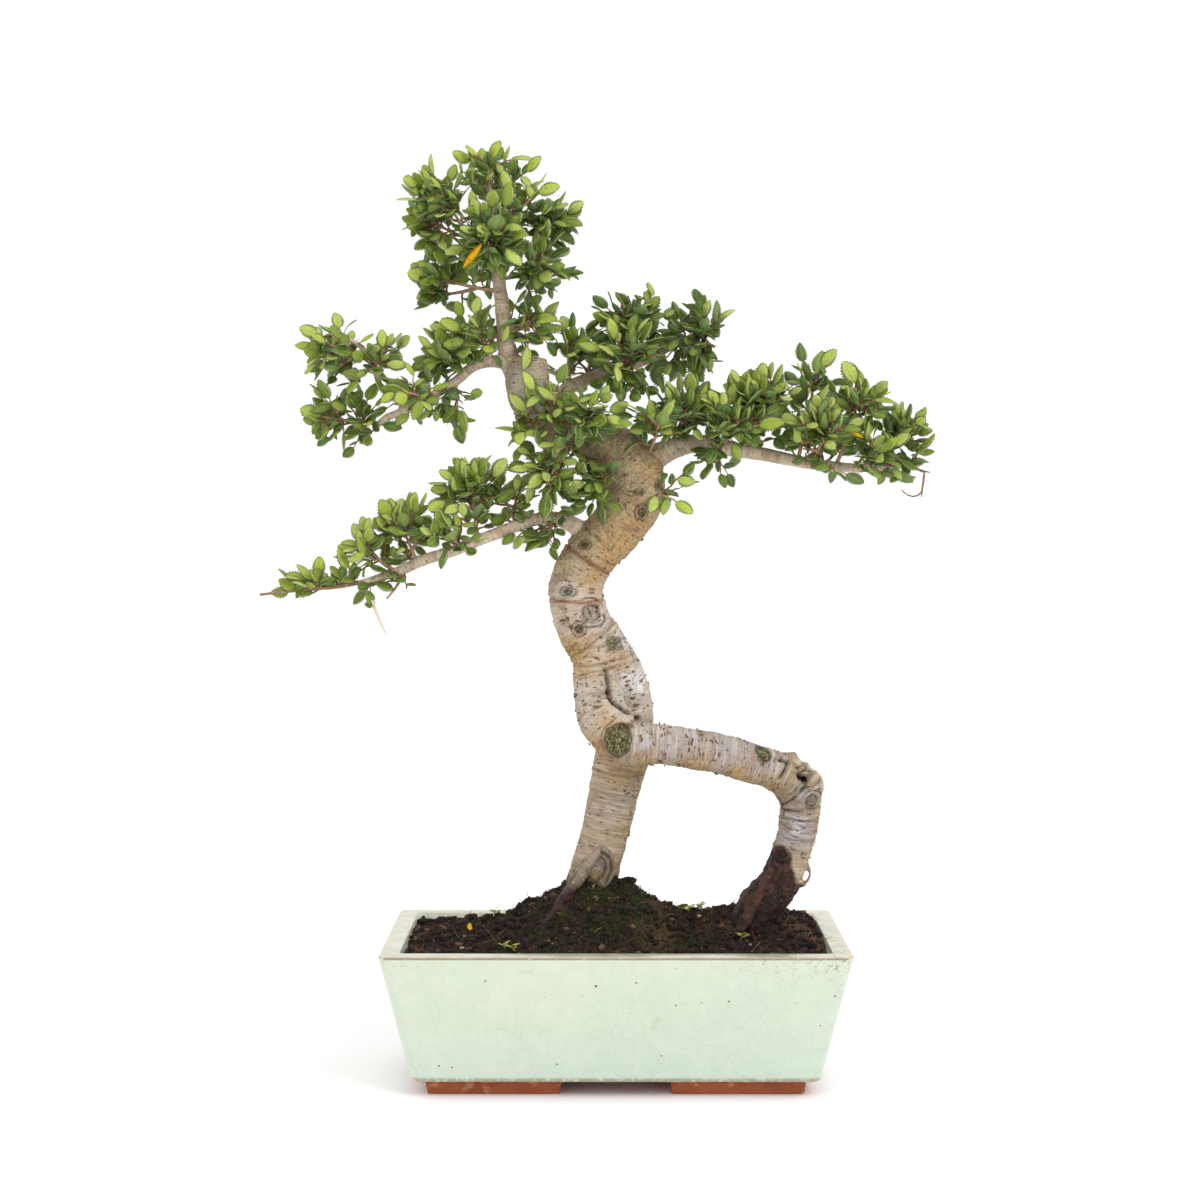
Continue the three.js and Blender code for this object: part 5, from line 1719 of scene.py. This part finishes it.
    # Damp reddish bark at the foot of the front leg, and at the ends of the roots
    low = points[:, 2] - np.interp(points[:, 0], *zip(*FOOT_EDGE)) + noise_of(points, 5.0, 8.0) * 3
    foot = (points[:, 0] > 60) * (1 - smooth_step(-1.2, 1.0, low))
    relief += foot * noise_of(points * np.array([1.0, 1.0, 0.3]), 3.4, 6.0) * 1.8
    relief += 0.9 * (points[:, 0] > 60) * smooth_step(-0.5, 1.0, low) * (1 - smooth_step(2, 6, low))
    base = 1 - smooth_step(0, 14, points[:, 2] - 120 + noise_of(points, 8.0, 13.0) * 6)
    roots = smooth_step(0.0, 1.0, (6.0 - radius) / 2.0) * (points[:, 2] < 170)
    damp = np.clip(foot + base * 0.75 * (points[:, 0] < 60) + roots * 0.5 * (points[:, 2] < 160), 0, 1)
    moss = np.maximum(moss, 0.5 * (1 - smooth_step(0, 20, points[:, 2] - 132)) * (points[:, 0] < 60))
    moss = np.maximum(moss, 0.3 * knee)

    smooth = smooth_step(6, 10, radius)
    ochre = np.maximum(smooth_step(0.1, 0.5, noise_of(points, 24.0, 21.0)) * 0.6,
                       share_near(points, OCHRE_PLACES, 0.8, 31.0)) * smooth
    aged = smooth_step(322.0, 350.0, points[:, 2] + noise_of(points, 10.0, 51.0) * 14) * smooth
    aged *= 1 - 0.75 * smooth_step(428.0, 442.0, points[:, 2])

    write(mesh.vertices, "co", (points + normals * relief[:, None]) * MM + POT_CENTRE)
    store(mesh, "straight", straight)
    for name, values in (
        ("marks", (scar, dark, damp)),
        ("wood", (radius, moss, ochre)),
        ("zone", (aged, cool, rust)),
    ):
        store(mesh, name, np.stack(values, axis=1))
    mesh.update()
    return piece, tree


# Pot

def build_foot(sign_x, sign_y):
    """One L-shaped foot: a bar along the front or back, with a short return along the side."""
    foot = cube(
        "foot",
        (FOOT_INNER_X, FOOT_OUTER_Y - FOOT_BAR, 0),
        (FOOT_OUTER_X, FOOT_OUTER_Y, POT_BOTTOM + 2),
    )
    cut = put((FOOT_OUTER_X - FOOT_BAR, 0, 0))
    bpy.ops.mesh.select_all(action="SELECT")
    bpy.ops.mesh.bisect(plane_co=cut, plane_no=(1, 0, 0))
    inner_y = put((0, FOOT_OUTER_Y - FOOT_BAR, 0)).y
    pick(foot, faces=lambda f: f.normal.y < -0.9 and f.calc_center_median().x > cut.x
         and abs(f.calc_center_median().y - inner_y) < MM)
    bpy.ops.mesh.extrude_region_move(
        TRANSFORM_OT_translate={"value": (0, (FOOT_RETURN - FOOT_OUTER_Y + FOOT_BAR) * MM, 0)})
    pick(foot, faces=lambda f: f.normal.z < -0.9)
    centre = put(((FOOT_INNER_X + FOOT_OUTER_X) / 2, (FOOT_RETURN + FOOT_OUTER_Y) / 2, 0))
    bpy.ops.transform.resize(value=(0.95, 0.9, 1), center_override=centre)
    bpy.ops.mesh.select_all(action="SELECT")
    bpy.ops.mesh.bevel(offset=1.1 * MM, segments=2, affect="EDGES")
    bpy.ops.object.mode_set(mode="OBJECT")
    middle = Matrix.Translation(put((0, 0, 0)))
    flip = Matrix.Diagonal((sign_x, sign_y, 1, 1))
    foot.data.transform(middle @ flip @ middle.inverted())
    if sign_x * sign_y < 0:
        foot.data.flip_normals()
    return foot


def build_pot():
    """Tapered body with a flat rim, hollowed, rounded at its edges, with four feet and two holes."""
    half_x, half_y = POT_LENGTH / 2, POT_DEPTH / 2
    pot = cube("pot_body", (-half_x, -half_y, POT_BOTTOM), (half_x, half_y, POT_TOP))
    taper = (1 - 2 * POT_TAPER / POT_LENGTH, 1 - 2 * POT_TAPER / POT_DEPTH, 1)
    pick(pot, faces=lambda f: f.normal.z < -0.9)
    bpy.ops.transform.resize(value=taper, center_override=put((0, 0, POT_BOTTOM)))
    pick(pot, faces=lambda f: f.normal.z > 0.9)
    bpy.ops.mesh.inset(thickness=RIM_WIDTH * MM)
    bpy.ops.mesh.extrude_region_move(TRANSFORM_OT_translate={"value": (0, 0, (FLOOR_TOP - POT_TOP) * MM)})
    top_x, top_y = cavity_half(POT_TOP)
    low_x, low_y = cavity_half(FLOOR_TOP)
    bpy.ops.transform.resize(value=(low_x / top_x, low_y / top_y, 1), center_override=put((0, 0, FLOOR_TOP)))

    def upright(edge):
        a, b = edge.verts
        return abs(a.co.z - b.co.z) > 20 * MM

    def outer(edge):
        middle = (edge.verts[0].co + edge.verts[1].co) / 2
        return upright(edge) and abs(middle.x - POT_CENTRE[0]) > (top_x + low_x + 4) / 2 * MM

    def level(edge, height):
        flat = all(abs(v.co.z - height * MM) < 0.1 * MM for v in edge.verts)
        return flat and sum(abs(f.normal.z) > 0.9 for f in edge.link_faces) == 1

    round_edges(pot, outer, CORNER_RADIUS, 7)
    round_edges(pot, lambda e: upright(e) and not outer(e), INNER_RADIUS, 5)
    for height, radius, steps in ROUNDINGS:
        round_edges(pot, lambda e: level(e, height), radius, steps)
    bpy.ops.object.mode_set(mode="OBJECT")
    for sign_x in (-1, 1):
        for sign_y in (-1, 1):
            foot = build_foot(sign_x, sign_y)
            apply_modifier(pot, "BOOLEAN", operation="UNION", object=foot, solver="EXACT")
            bpy.data.objects.remove(foot)
        bpy.ops.object.select_all(action="DESELECT")
        middle = put((sign_x * DRAIN_X, 0, FLOOR_TOP / 2))
        bpy.ops.mesh.primitive_cylinder_add(
            vertices=48, radius=DRAIN_RADIUS * MM, depth=60 * MM, location=middle)
        hole = bpy.context.object
        apply_place(hole)
        apply_modifier(pot, "BOOLEAN", operation="DIFFERENCE", object=hole, solver="EXACT")
        bpy.data.objects.remove(hole)
    return pot


# Soil and what lies on it

def build_soil(step):
    """Heaped soil surface with crumbs, closed down to the pot's floor."""
    soil = Assembly()
    wall_x, wall_y = cavity_half(SOIL_LEVEL)
    columns = int(2 * wall_x / step)
    rows = int(2 * wall_y / step)
    xs = np.linspace(-wall_x, wall_x, columns + 1)
    ys = np.linspace(-wall_y, wall_y, rows + 1)
    grid_x, grid_y = np.meshgrid(xs, ys)
    over_x = np.clip(np.abs(grid_x) - wall_x + 5, 0, None)
    over_y = np.clip(np.abs(grid_y) - wall_y + 5, 0, None)
    pull = np.where(np.hypot(over_x, over_y) > 5, 5 / np.maximum(np.hypot(over_x, over_y), 1e-6), 1.0)
    grid_x = grid_x - np.sign(grid_x) * over_x * (1 - pull)
    grid_y = grid_y - np.sign(grid_y) * over_y * (1 - pull)
    height = soil_height(grid_x, grid_y)
    bumps = np.array([roughness_at(x, y) for x, y in zip(grid_x.ravel(), grid_y.ravel())])
    height = height + bumps.reshape(height.shape) * np.where(height > SOIL_LEVEL - 2, 1.0, 0.4)
    top = np.stack([grid_x.ravel(), grid_y.ravel(), height.ravel()], axis=1)
    width = columns + 1
    corners = []
    for row in range(rows):
        for column in range(columns):
            a = row * width + column
            corners += [a, a + 1, a + 1 + width, a + width]
    sizes = [4] * (rows * columns)
    edge = list(range(width))
    edge += [row * width + columns for row in range(1, rows + 1)]
    edge += [rows * width + column for column in range(columns - 1, -1, -1)]
    edge += [row * width for row in range(rows - 1, 0, -1)]
    low_x, low_y = cavity_half(FLOOR_TOP + 1)
    foot = top[edge] * np.array([low_x / wall_x, low_y / wall_y, 0]) + np.array([0, 0, FLOOR_TOP + 0.6])
    first = len(top)
    count = len(edge)
    for i in range(count):
        j = (i + 1) % count
        corners += [edge[j], edge[i], first + i, first + j]
    sizes += [4] * count
    corners += list(range(first, first + count))[::-1]
    sizes.append(count)
    points = np.vstack([top, foot])
    mound = np.exp(-(((points[:, 0] + 8) / 55) ** 2 + ((points[:, 1] + 4) / 50) ** 2))
    patch = np.array([noise.noise(Vector((p[0] / 22, p[1] / 22, 5.5))) for p in points])
    moss = np.clip(mound * 0.9 + patch * 0.9 - 0.1, 0, 1)
    light = np.clip(patch * -0.6, 0, 1)
    soil.add(points, corners, sizes, 0, None, np.stack([moss, light, np.zeros(len(points))], axis=1))
    return soil


def lump_pattern():
    """A small rough lump: points and faces of a coarse ball."""
    ball = bmesh.new()
    bmesh.ops.create_icosphere(ball, subdivisions=1, radius=1.0)
    points = np.array([v.co for v in ball.verts])
    corners = [v.index for f in ball.faces for v in f.verts]
    sizes = [len(f.verts) for f in ball.faces]
    ball.free()
    return points, corners, sizes


def scatter(count, chance, seed):
    """Seeded places over the soil, kept where a chance says so."""
    random = np.random.RandomState(seed)
    wall_x, wall_y = cavity_half(SOIL_LEVEL)
    places = []
    while len(places) < count:
        x = random.uniform(-wall_x + 2, wall_x - 2)
        y = random.uniform(-wall_y + 2, wall_y - 2)
        if random.rand() < chance(x, y):
            places.append((x, y, ground(x, y)))
    return places, random


def mound_share(x, y):
    return math.exp(-(((x + 8) / 48) ** 2 + ((y + 6) / 44) ** 2))


def build_crumbs(count):
    """Crumbs and clods of soil lying on the surface."""
    crumbs = Assembly()
    points, corners, sizes = lump_pattern()
    places, random = scatter(count, lambda x, y: 0.7 + 0.3 * mound_share(x, y), CRUMB_SEED)
    for x, y, z in places:
        size = 0.7 + 2.8 * random.rand() ** 3
        shape = points * (1 + 0.7 * (random.rand(len(points), 1) - 0.5))
        shape = shape * size * np.array([1, 0.6 + 0.5 * random.rand(), 0.5 + 0.4 * random.rand()])
        turn = random.rand() * 2 * math.pi
        cosine, sine = math.cos(turn), math.sin(turn)
        shape = shape @ np.array([[cosine, sine, 0], [-sine, cosine, 0], [0, 0, 1]])
        moss = mound_share(x, y) * (random.rand() < 0.5)
        tone = (moss, 0.8 * (random.rand() < 0.07), 0.0)
        crumbs.add(shape + np.array([x, y, z + size * 0.15]), corners, sizes, 0, None, tone)
    return crumbs


def build_fibres(count):
    """Dry root fibres and twiglets, lying and sticking up."""
    litter = Assembly()
    places, random = scatter(count, lambda x, y: 1.0, FIBRE_SEED)
    for x, y, z in places:
        length = 3 + 9 * random.rand() ** 2
        turn = random.rand() * 2 * math.pi
        rise = 0.15 + 0.9 * random.rand() ** 2.5
        heading = unit(np.array([math.cos(turn), math.sin(turn), rise]))
        bend = random.randn(3) * 0.35
        shares = np.linspace(0, 1, 5)[:, None]
        line = np.array([x, y, z - 0.6]) + heading * shares * length + bend * shares ** 2 * length
        line[:, 2] = np.maximum(line[:, 2], [float(soil_height(p[0], p[1])) - 1.5 for p in line])
        radius = 0.12 + 0.16 * random.rand()
        tone = (random.rand() ** 2, float(random.rand() < 0.3), 0.0)
        litter.tube(line, np.linspace(radius, radius * 0.5, 5), 3, 0, tone)
    points, corners, sizes = lump_pattern()
    for x, y, z in scatter(PEBBLES, lambda x, y: 1.0, PEBBLE_SEED)[0]:
        size = 1.0 + 1.3 * random.rand()
        shape = points * (1 + 0.3 * (random.rand(len(points), 1) - 0.5)) * size * np.array([1, 0.8, 0.6])
        litter.add(shape + np.array([x, y, z + 0.3]), corners, sizes, 0, None, (0.5, 0.0, 0.9))
    return litter


def build_moss(count):
    """Tufts of short blades, thick on the mound round the rear leg."""
    moss = Assembly()

    def chance(x, y):
        patch = noise.noise(Vector((x / 11, y / 11, 9.1)))
        return mound_share(x, y) * (0.25 + 1.2 * max(patch + 0.25, 0)) + 0.02

    places, random = scatter(count, chance, MOSS_SEED)
    for x, y, z in places:
        tall = 1.0 + 2.4 * random.rand() ** 2
        lean = random.randn(2) * 0.55
        turn = random.rand() * 2 * math.pi
        turns = [turn + i * 2.1 for i in range(3)]
        base = [(x + 0.28 * math.cos(t), y + 0.28 * math.sin(t), z - 0.3) for t in turns]
        tip = (x + lean[0] * tall, y + lean[1] * tall, z + tall)
        shade = random.rand() ** 1.5
        tones = [(shade, 0.0, 0.0)] * 3 + [(shade, random.rand(), 0.0)]
        moss.add([*base, tip], [0, 1, 3, 1, 2, 3, 2, 0, 3, 2, 1, 0], [3, 3, 3, 3], 0, None, tones)
    return moss


def build_cork(tree, count):
    """Raised corky dashes on the bark, set across the limb."""
    cork = Assembly()
    points, corners, sizes = lump_pattern()
    random = np.random.RandomState(CORK_SEED)

    def add(place, normal, along, wide, bold=1.0):
        across = unit(np.cross(along, normal))
        up = np.cross(normal, across)
        tall = (0.4 + 0.35 * random.rand()) * bold
        high = 0.35 + 0.45 * random.rand()
        shape = points * (1 + 0.35 * (random.rand(len(points), 1) - 0.5))
        shape = shape[:, :1] * wide * across + shape[:, 1:2] * tall * up + shape[:, 2:] * high * normal
        cork.add(shape + place + normal * 0.2, corners, sizes, 0, None, (random.rand(), 0.0, 0.0))

    for x, z, wide in DASHES:
        place, normal = front_place(tree, x, z)
        for part in (-0.6, 0.5):
            lean = np.array([0.98, 0.0, 0.2])
            side = place + lean * wide * part + np.array([0.0, 0.0, 0.5 * (random.rand() - 0.5)])
            add(side, normal, np.array([-0.2, 0.0, 0.98]), wide * (0.65 + 0.25 * random.rand()), 1.6)
    for _ in range(count):
        name, low, high, _ = CORKY_LIMBS[random.choice(3, p=[item[3] for item in CORKY_LIMBS])]
        line = LINES[name]
        part = random.uniform(low, high)
        centre = line.place(part)
        along = unit(line.place(min(part + 0.01, 1)) - line.place(part - 0.01))
        away = unit(np.cross(along, random.randn(3)))
        start = centre + away * (line.radius(part) + 14)
        place, normal, _, _ = tree.ray_cast(Vector(start), Vector(-away))
        if place is None or (np.array(place) - centre).dot(away) > line.radius(part) + 3:
            continue
        for _ in range(random.choice([1, 1, 2, 4])):
            shift = np.cross(normal, random.randn(3)) * 1.1
            add(np.array(place) + shift, np.array(normal), along, 0.4 + 1.6 * random.rand() ** 2, 1.2)
    return cork


def build_ground_growth():
    """Seedlings that come up through the soil, and a few fallen leaves."""
    sprigs = Assembly()
    leaves = LeafBed()
    random = np.random.RandomState(GROWTH_SEED)
    for x, y in FALLEN_LEAVES:
        turn = random.rand() * 2 * math.pi
        direction = unit(np.array([math.cos(turn), math.sin(turn), 0.15]))
        across = unit(np.cross(UP, direction) + random.randn(3) * 0.25)
        base = np.array([x, y, ground(x, y) + 0.9])
        tone = (random.rand(), random.rand(), 1.0)
        size = 7 + 3 * random.rand()
        leaves.add(base, direction, across, np.cross(direction, across), size, 0.9, 0.3, 0.5, 0.4, tone)
    for x, y in SEEDLINGS:
        base = np.array([x, y, float(soil_height(x, y)) + 0.5])
        lean = unit(np.array([random.randn() * 0.25, random.randn() * 0.25, 1.0]))
        tall = 3.5 + 4 * random.rand()
        stalk = [base, base + lean * tall * 0.5, base + lean * tall]
        sprigs.tube(stalk, [0.35, 0.3, 0.2], 5, 1, (0.8, 0.0, 0.0))
        start = random.rand() * math.pi
        for i in range(4):
            turn = start + i * 1.7
            direction = unit(np.array([math.cos(turn), math.sin(turn), 0.45 + 0.3 * random.rand()]))
            across = unit(np.cross(UP, direction))
            tone = (0.6, 0.3 + 0.4 * random.rand(), 0.0)
            size = 4.5 + 2.5 * random.rand()
            node = base + lean * tall * (0.55 + 0.15 * i)
            lift = np.cross(direction, across)
            leaves.add(node, direction, across, lift, size, 1.1, 0.2, -0.4, 0.0, tone)
    leaves.pour(sprigs, 0)
    return sprigs


# Bare shoots: points and radii, sides, and the tone of the wood
BARE_TWIGS = [
    # The hanging dead twig
    ([(-154.4, -49, 317.9, 0.8), (-152.5, -49, 312, 1.0), (-149.9, -50, 306, 0.9), (-147.4, -50, 300, 0.6),
      (-145.8, -50, 297, 0.3)], 6, (0.5, 0.0, 1.0)),
    # The curled end of the right bough, and its two branches
    ([(182, 4, 406, 1.6), (190, 3, 404, 1.2), (197, 2, 401.5, 1.0), (202, 0, 399.4, 0.9),
      (201.8, 0, 396, 0.8), (201.3, 0, 392, 0.75), (200.6, 0, 387, 0.65), (200.3, 0, 383, 0.4)],
     6, (0.9, 0.0, 0.0)),
    ([(200.6, 0, 386.5, 0.6), (198, 0, 384, 0.6), (195, 1, 383.2, 0.55), (191.5, 1, 384.2, 0.5),
      (189, 2, 386, 0.45), (187.5, 2, 388, 0.3)], 5, (0.8, 0.0, 0.0)),
    ([(201, 0, 400, 0.7), (205.7, 0, 399, 0.4)], 5, (0.8, 0.0, 0.0)),
    # The bare left tip
    ([(-164, -40, 328.5, 1.6), (-180, -42, 325.5, 1.2), (-198, -43, 324, 1.0), (-214, -44, 322.5, 0.9),
      (-226, -44.5, 321, 0.8)], 6, (0.9, 0.0, 0.0)),
]


def build_bare_twigs():
    """The bare shoots at the ends of the boughs."""
    twigs = Assembly()
    for rows, sides, tone in BARE_TWIGS:
        table = np.array(rows)
        twigs.tube(table[:, :3], table[:, 3], sides, 0, tone)
    return twigs


# Settings

class PotSettings(bpy.types.PropertyGroup):
    """Glaze and clay of the pot."""

    glaze: FloatVectorProperty(
        name="Glaze", description="Colour of the glaze",
        subtype="COLOR", default=tint("c5cdbb"), min=0, max=1)
    glaze_pool: FloatVectorProperty(
        name="Pooled glaze", description="Colour where the glaze is thick",
        subtype="COLOR", default=tint("b9c7b6"), min=0, max=1)
    clay: FloatVectorProperty(
        name="Clay", description="Colour of the unglazed feet",
        subtype="COLOR", default=tint("8a4326"), min=0, max=1)


class BarkSettings(bpy.types.PropertyGroup):
    """Wood and bark."""

    thickness: FloatProperty(
        name="Thickness", description="Share of the drawn radius of each limb", default=0.985)
    skin_step: FloatProperty(
        name="Skin step", description="Size of the faces of the bark, in millimetres", default=1.17, min=0.8)
    cork_count: IntProperty(
        name="Corky dashes", description="Number of raised dashes on the bark", default=420)
    pale_bark: FloatVectorProperty(
        name="Pale bark", description="Colour of the palest bark",
        subtype="COLOR", default=tint("b9b5b6"), min=0, max=1)
    tan_bark: FloatVectorProperty(
        name="Tan bark", description="Colour of the warm bark",
        subtype="COLOR", default=tint("bfac94"), min=0, max=1)
    ochre_bark: FloatVectorProperty(
        name="Ochre bark", description="Colour of the golden patches",
        subtype="COLOR", default=tint("bd9860"), min=0, max=1)


class FoliageSettings(bpy.types.PropertyGroup):
    """Leaves and twigs."""

    density: FloatProperty(
        name="Inner shoots", description="Length of the shoots out of the flat of a spray",
        default=0.8, min=0, max=1.5)
    # The old leaf colour also paints shade on covered leaves; the light and young leaf colours also paint
    # light on leaves in the open and on the lit tips
    deep_leaf: FloatVectorProperty(
        name="Old leaf", description="Colour of an old leaf",
        subtype="COLOR", default=tint("2a4b12"), min=0, max=1)
    blue_leaf: FloatVectorProperty(
        name="Shaded leaf", description="Colour of a bluish leaf",
        subtype="COLOR", default=tint("2d6048"), min=0, max=1)
    mid_leaf: FloatVectorProperty(
        name="Leaf", description="Colour of a full-grown leaf",
        subtype="COLOR", default=tint("88a836"), min=0, max=1)
    light_leaf: FloatVectorProperty(
        name="Light leaf", description="Colour of a pale leaf",
        subtype="COLOR", default=tint("d8e47c"), min=0, max=1)
    young_leaf: FloatVectorProperty(
        name="Young leaf", description="Colour of a new leaf",
        subtype="COLOR", default=tint("cedc48"), min=0, max=1)
    leaf_glow: FloatProperty(
        name="Leaf glow", description="Share of light that passes through a leaf", default=0.3, min=0, max=1)


class SoilSettings(bpy.types.PropertyGroup):
    """Soil, litter and moss."""

    step: FloatProperty(
        name="Surface step", description="Size of the faces of the soil, in millimetres", default=1.3)
    crumbs: IntProperty(name="Crumbs", description="Number of loose crumbs", default=3600)
    fibres: IntProperty(name="Fibres", description="Number of fibres", default=620)
    tufts: IntProperty(name="Moss blades", description="Number of moss blades", default=7600)


class StageSettings(bpy.types.PropertyGroup):
    """Studio light."""

    world: FloatProperty(name="Sky", description="Strength of the even white light", default=1.1)
    key: FloatProperty(name="Key", description="Power of the large soft light", subtype="POWER", default=24.0)
    fill: FloatProperty(
        name="Fill", description="Power of the second soft light", subtype="POWER", default=6.0)


# Operators

class MakePot(bpy.types.Operator):
    """Models the pot, its feet and its holes"""

    bl_idname = "elm.make_pot"
    bl_label = "Pot"

    def execute(self, context):
        settings = context.scene.elm_pot
        pot = build_pot()
        for paint in (paint_glaze, paint_clay):
            pot.data.materials.append(paint(settings))
        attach(pot, "root")
        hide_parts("pot")
        for face in pot.data.polygons:
            height = face.center.z / MM
            underside = face.normal.z < -0.9 and height < POT_BOTTOM + 2
            face.material_index = 1 if height < POT_BOTTOM - 0.05 or underside else 0
        only(pot)
        bpy.ops.object.shade_smooth_by_angle(angle=math.radians(32))
        return {"FINISHED"}


class FinishDrains(bpy.types.Operator):
    """Gives the drainage nets and their wire clips their materials"""

    bl_idname = "elm.finish_drains"
    bl_label = "Drainage nets"

    def execute(self, context):
        net, wire = paint_plastic(), paint_wire()
        for name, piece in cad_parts.items():
            if name.startswith(("drainage_mesh", "mesh_clip")):
                finish = net if name.startswith("drainage_mesh") else wire
                if not piece.material_slots:
                    piece.data.materials.append(finish)
                for slot in piece.material_slots:
                    slot.material = finish
        return {"FINISHED"}


class MakeSoil(bpy.types.Operator):
    """Heaps the soil and scatters crumbs, fibres, pebbles and moss on it"""

    bl_idname = "elm.make_soil"
    bl_label = "Soil"

    def execute(self, context):
        settings = context.scene.elm_soil
        earth = paint_soil()
        soil = build_soil(settings.step).build("soil_surface", [earth], slot="soil")
        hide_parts("soil")
        build_crumbs(settings.crumbs).build("soil_crumbs", [earth], slot="soil")
        build_fibres(settings.fibres).build("soil_litter", [paint_litter()], slot="soil")
        build_moss(settings.tufts).build("moss_tufts", [paint_moss()], slot="soil", shade=False)
        return {"FINISHED"}


class MakeWood(bpy.types.Operator):
    """Joins and sculpts the trunk, legs, roots and boughs"""

    bl_idname = "elm.make_wood"
    bl_label = "Wood"

    def execute(self, context):
        settings = context.scene.elm_bark
        piece, tree = build_wood(settings)
        piece.data.materials.append(paint_bark(settings))
        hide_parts("trunk")
        build_cork(tree, settings.cork_count).build("bark_cork", [paint_cork()], slot="bark")
        return {"FINISHED"}


class MakeFoliage(bpy.types.Operator):
    """Grows the twigs and leaves of every part of the crown"""

    bl_idname = "elm.make_foliage"
    bl_label = "Foliage"

    def execute(self, context):
        settings = context.scene.elm_foliage
        leaf, twig = paint_leaf(settings), paint_twig()
        stems = {number: grow_spray(entry, number) for number, entry in enumerate(SPRAYS, 1)}
        parts = {name: (Assembly(), LeafBed()) for name in CROWN_PARTS}
        places = bearing_points(stems)
        dress_sprays(stems, parts, settings.density)
        fill_crown(stems, places, parts, settings.density)
        hang_yellow_leaves(places, parts)
        for name, numbers in CROWN_PARTS.items():
            assembly, leaves = parts[name]
            leaves.pour(assembly, 0)
            piece = assembly.build(name, [leaf, twig], slot="leaf")
            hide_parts(*[f"spray_{number:02d}" for number in numbers])
        build_bare_twigs().build("bare_twigs", [twig], slot="bark")
        build_ground_growth().build("ground_growth", [leaf, twig], slot="leaf")
        return {"FINISHED"}


def place_in_studio(data, place, look):
    """A light or camera at a place, looking along a direction."""
    holder = bpy.data.objects.new(data.name, data)
    bpy.context.scene.collection.objects.link(holder)
    holder.location = place
    holder.rotation_euler = look.to_track_quat("-Z", "Y").to_euler()
    return holder


class MakeStage(bpy.types.Operator):
    """Sets up the floor, the soft lights and the camera"""

    bl_idname = "elm.make_stage"
    bl_label = "Stage"

    def execute(self, context):
        settings = context.scene.elm_stage
        scene = context.scene
        bpy.ops.object.select_all(action="DESELECT")
        bpy.ops.mesh.primitive_plane_add(size=FLOOR_SIZE)
        floor = context.object
        floor.name = "floor"
        floor.data.materials.append(paint_floor())
        world = bpy.data.worlds.new("studio")
        world.use_nodes = True
        sky = world.node_tree.nodes["Background"]
        sky.inputs["Color"].default_value = (1, 1, 1, 1)
        sky.inputs["Strength"].default_value = settings.world
        scene.world = world
        for name, (place, size) in LIGHTS.items():
            light = bpy.data.lights.new(name, "AREA")
            light.size = size
            light.energy = getattr(settings, name)
            place_in_studio(light, place, LIGHT_AIM - Vector(place))
        camera = bpy.data.cameras.new("camera")
        camera.lens = CAMERA_LENS
        level = math.cos(CAMERA_PITCH)
        look = (math.sin(CAMERA_YAW) * level, math.cos(CAMERA_YAW) * level, -math.sin(CAMERA_PITCH))
        scene.camera = place_in_studio(camera, put(CAMERA_PLACE), Vector(look))
        scene.view_settings.view_transform = "Standard"
        return {"FINISHED"}


class ElmPanel(bpy.types.Panel):
    """Lists the steps of the bonsai and their settings"""

    bl_idname = "VIEW3D_PT_elm"
    bl_label = "Elm Bonsai"
    bl_space_type = "VIEW_3D"
    bl_region_type = "UI"
    bl_category = "Elm Bonsai"

    def draw(self, context):
        for operator, group in STEPS:
            column = self.layout.column()
            column.operator(operator.bl_idname)
            if group:
                settings = getattr(context.scene, group)
                for name in settings.__annotations__:
                    column.prop(settings, name)


GROUPS = {
    "elm_pot": PotSettings,
    "elm_bark": BarkSettings,
    "elm_foliage": FoliageSettings,
    "elm_soil": SoilSettings,
    "elm_stage": StageSettings,
}
STEPS = (
    (MakeStage, "elm_stage"),
    (MakePot, "elm_pot"),
    (FinishDrains, None),
    (MakeSoil, "elm_soil"),
    (MakeWood, "elm_bark"),
    (MakeFoliage, "elm_foliage"),
)
CLASSES = (*GROUPS.values(), *(operator for operator, _ in STEPS), ElmPanel)


def register():
    for item in CLASSES:
        bpy.utils.register_class(item)
    for name, group in GROUPS.items():
        setattr(bpy.types.Scene, name, PointerProperty(type=group))


def unregister():
    for name in GROUPS:
        delattr(bpy.types.Scene, name)
    for item in reversed(CLASSES):
        bpy.utils.unregister_class(item)


def write_sizes():
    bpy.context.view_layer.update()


def main():
    register()
    bpy.ops.elm.make_stage()
    bpy.ops.elm.make_pot()
    bpy.ops.elm.finish_drains()
    bpy.ops.elm.make_soil()
    bpy.ops.elm.make_wood()
    bpy.ops.elm.make_foliage()
    write_sizes()


if __name__ == "__main__":
    main()
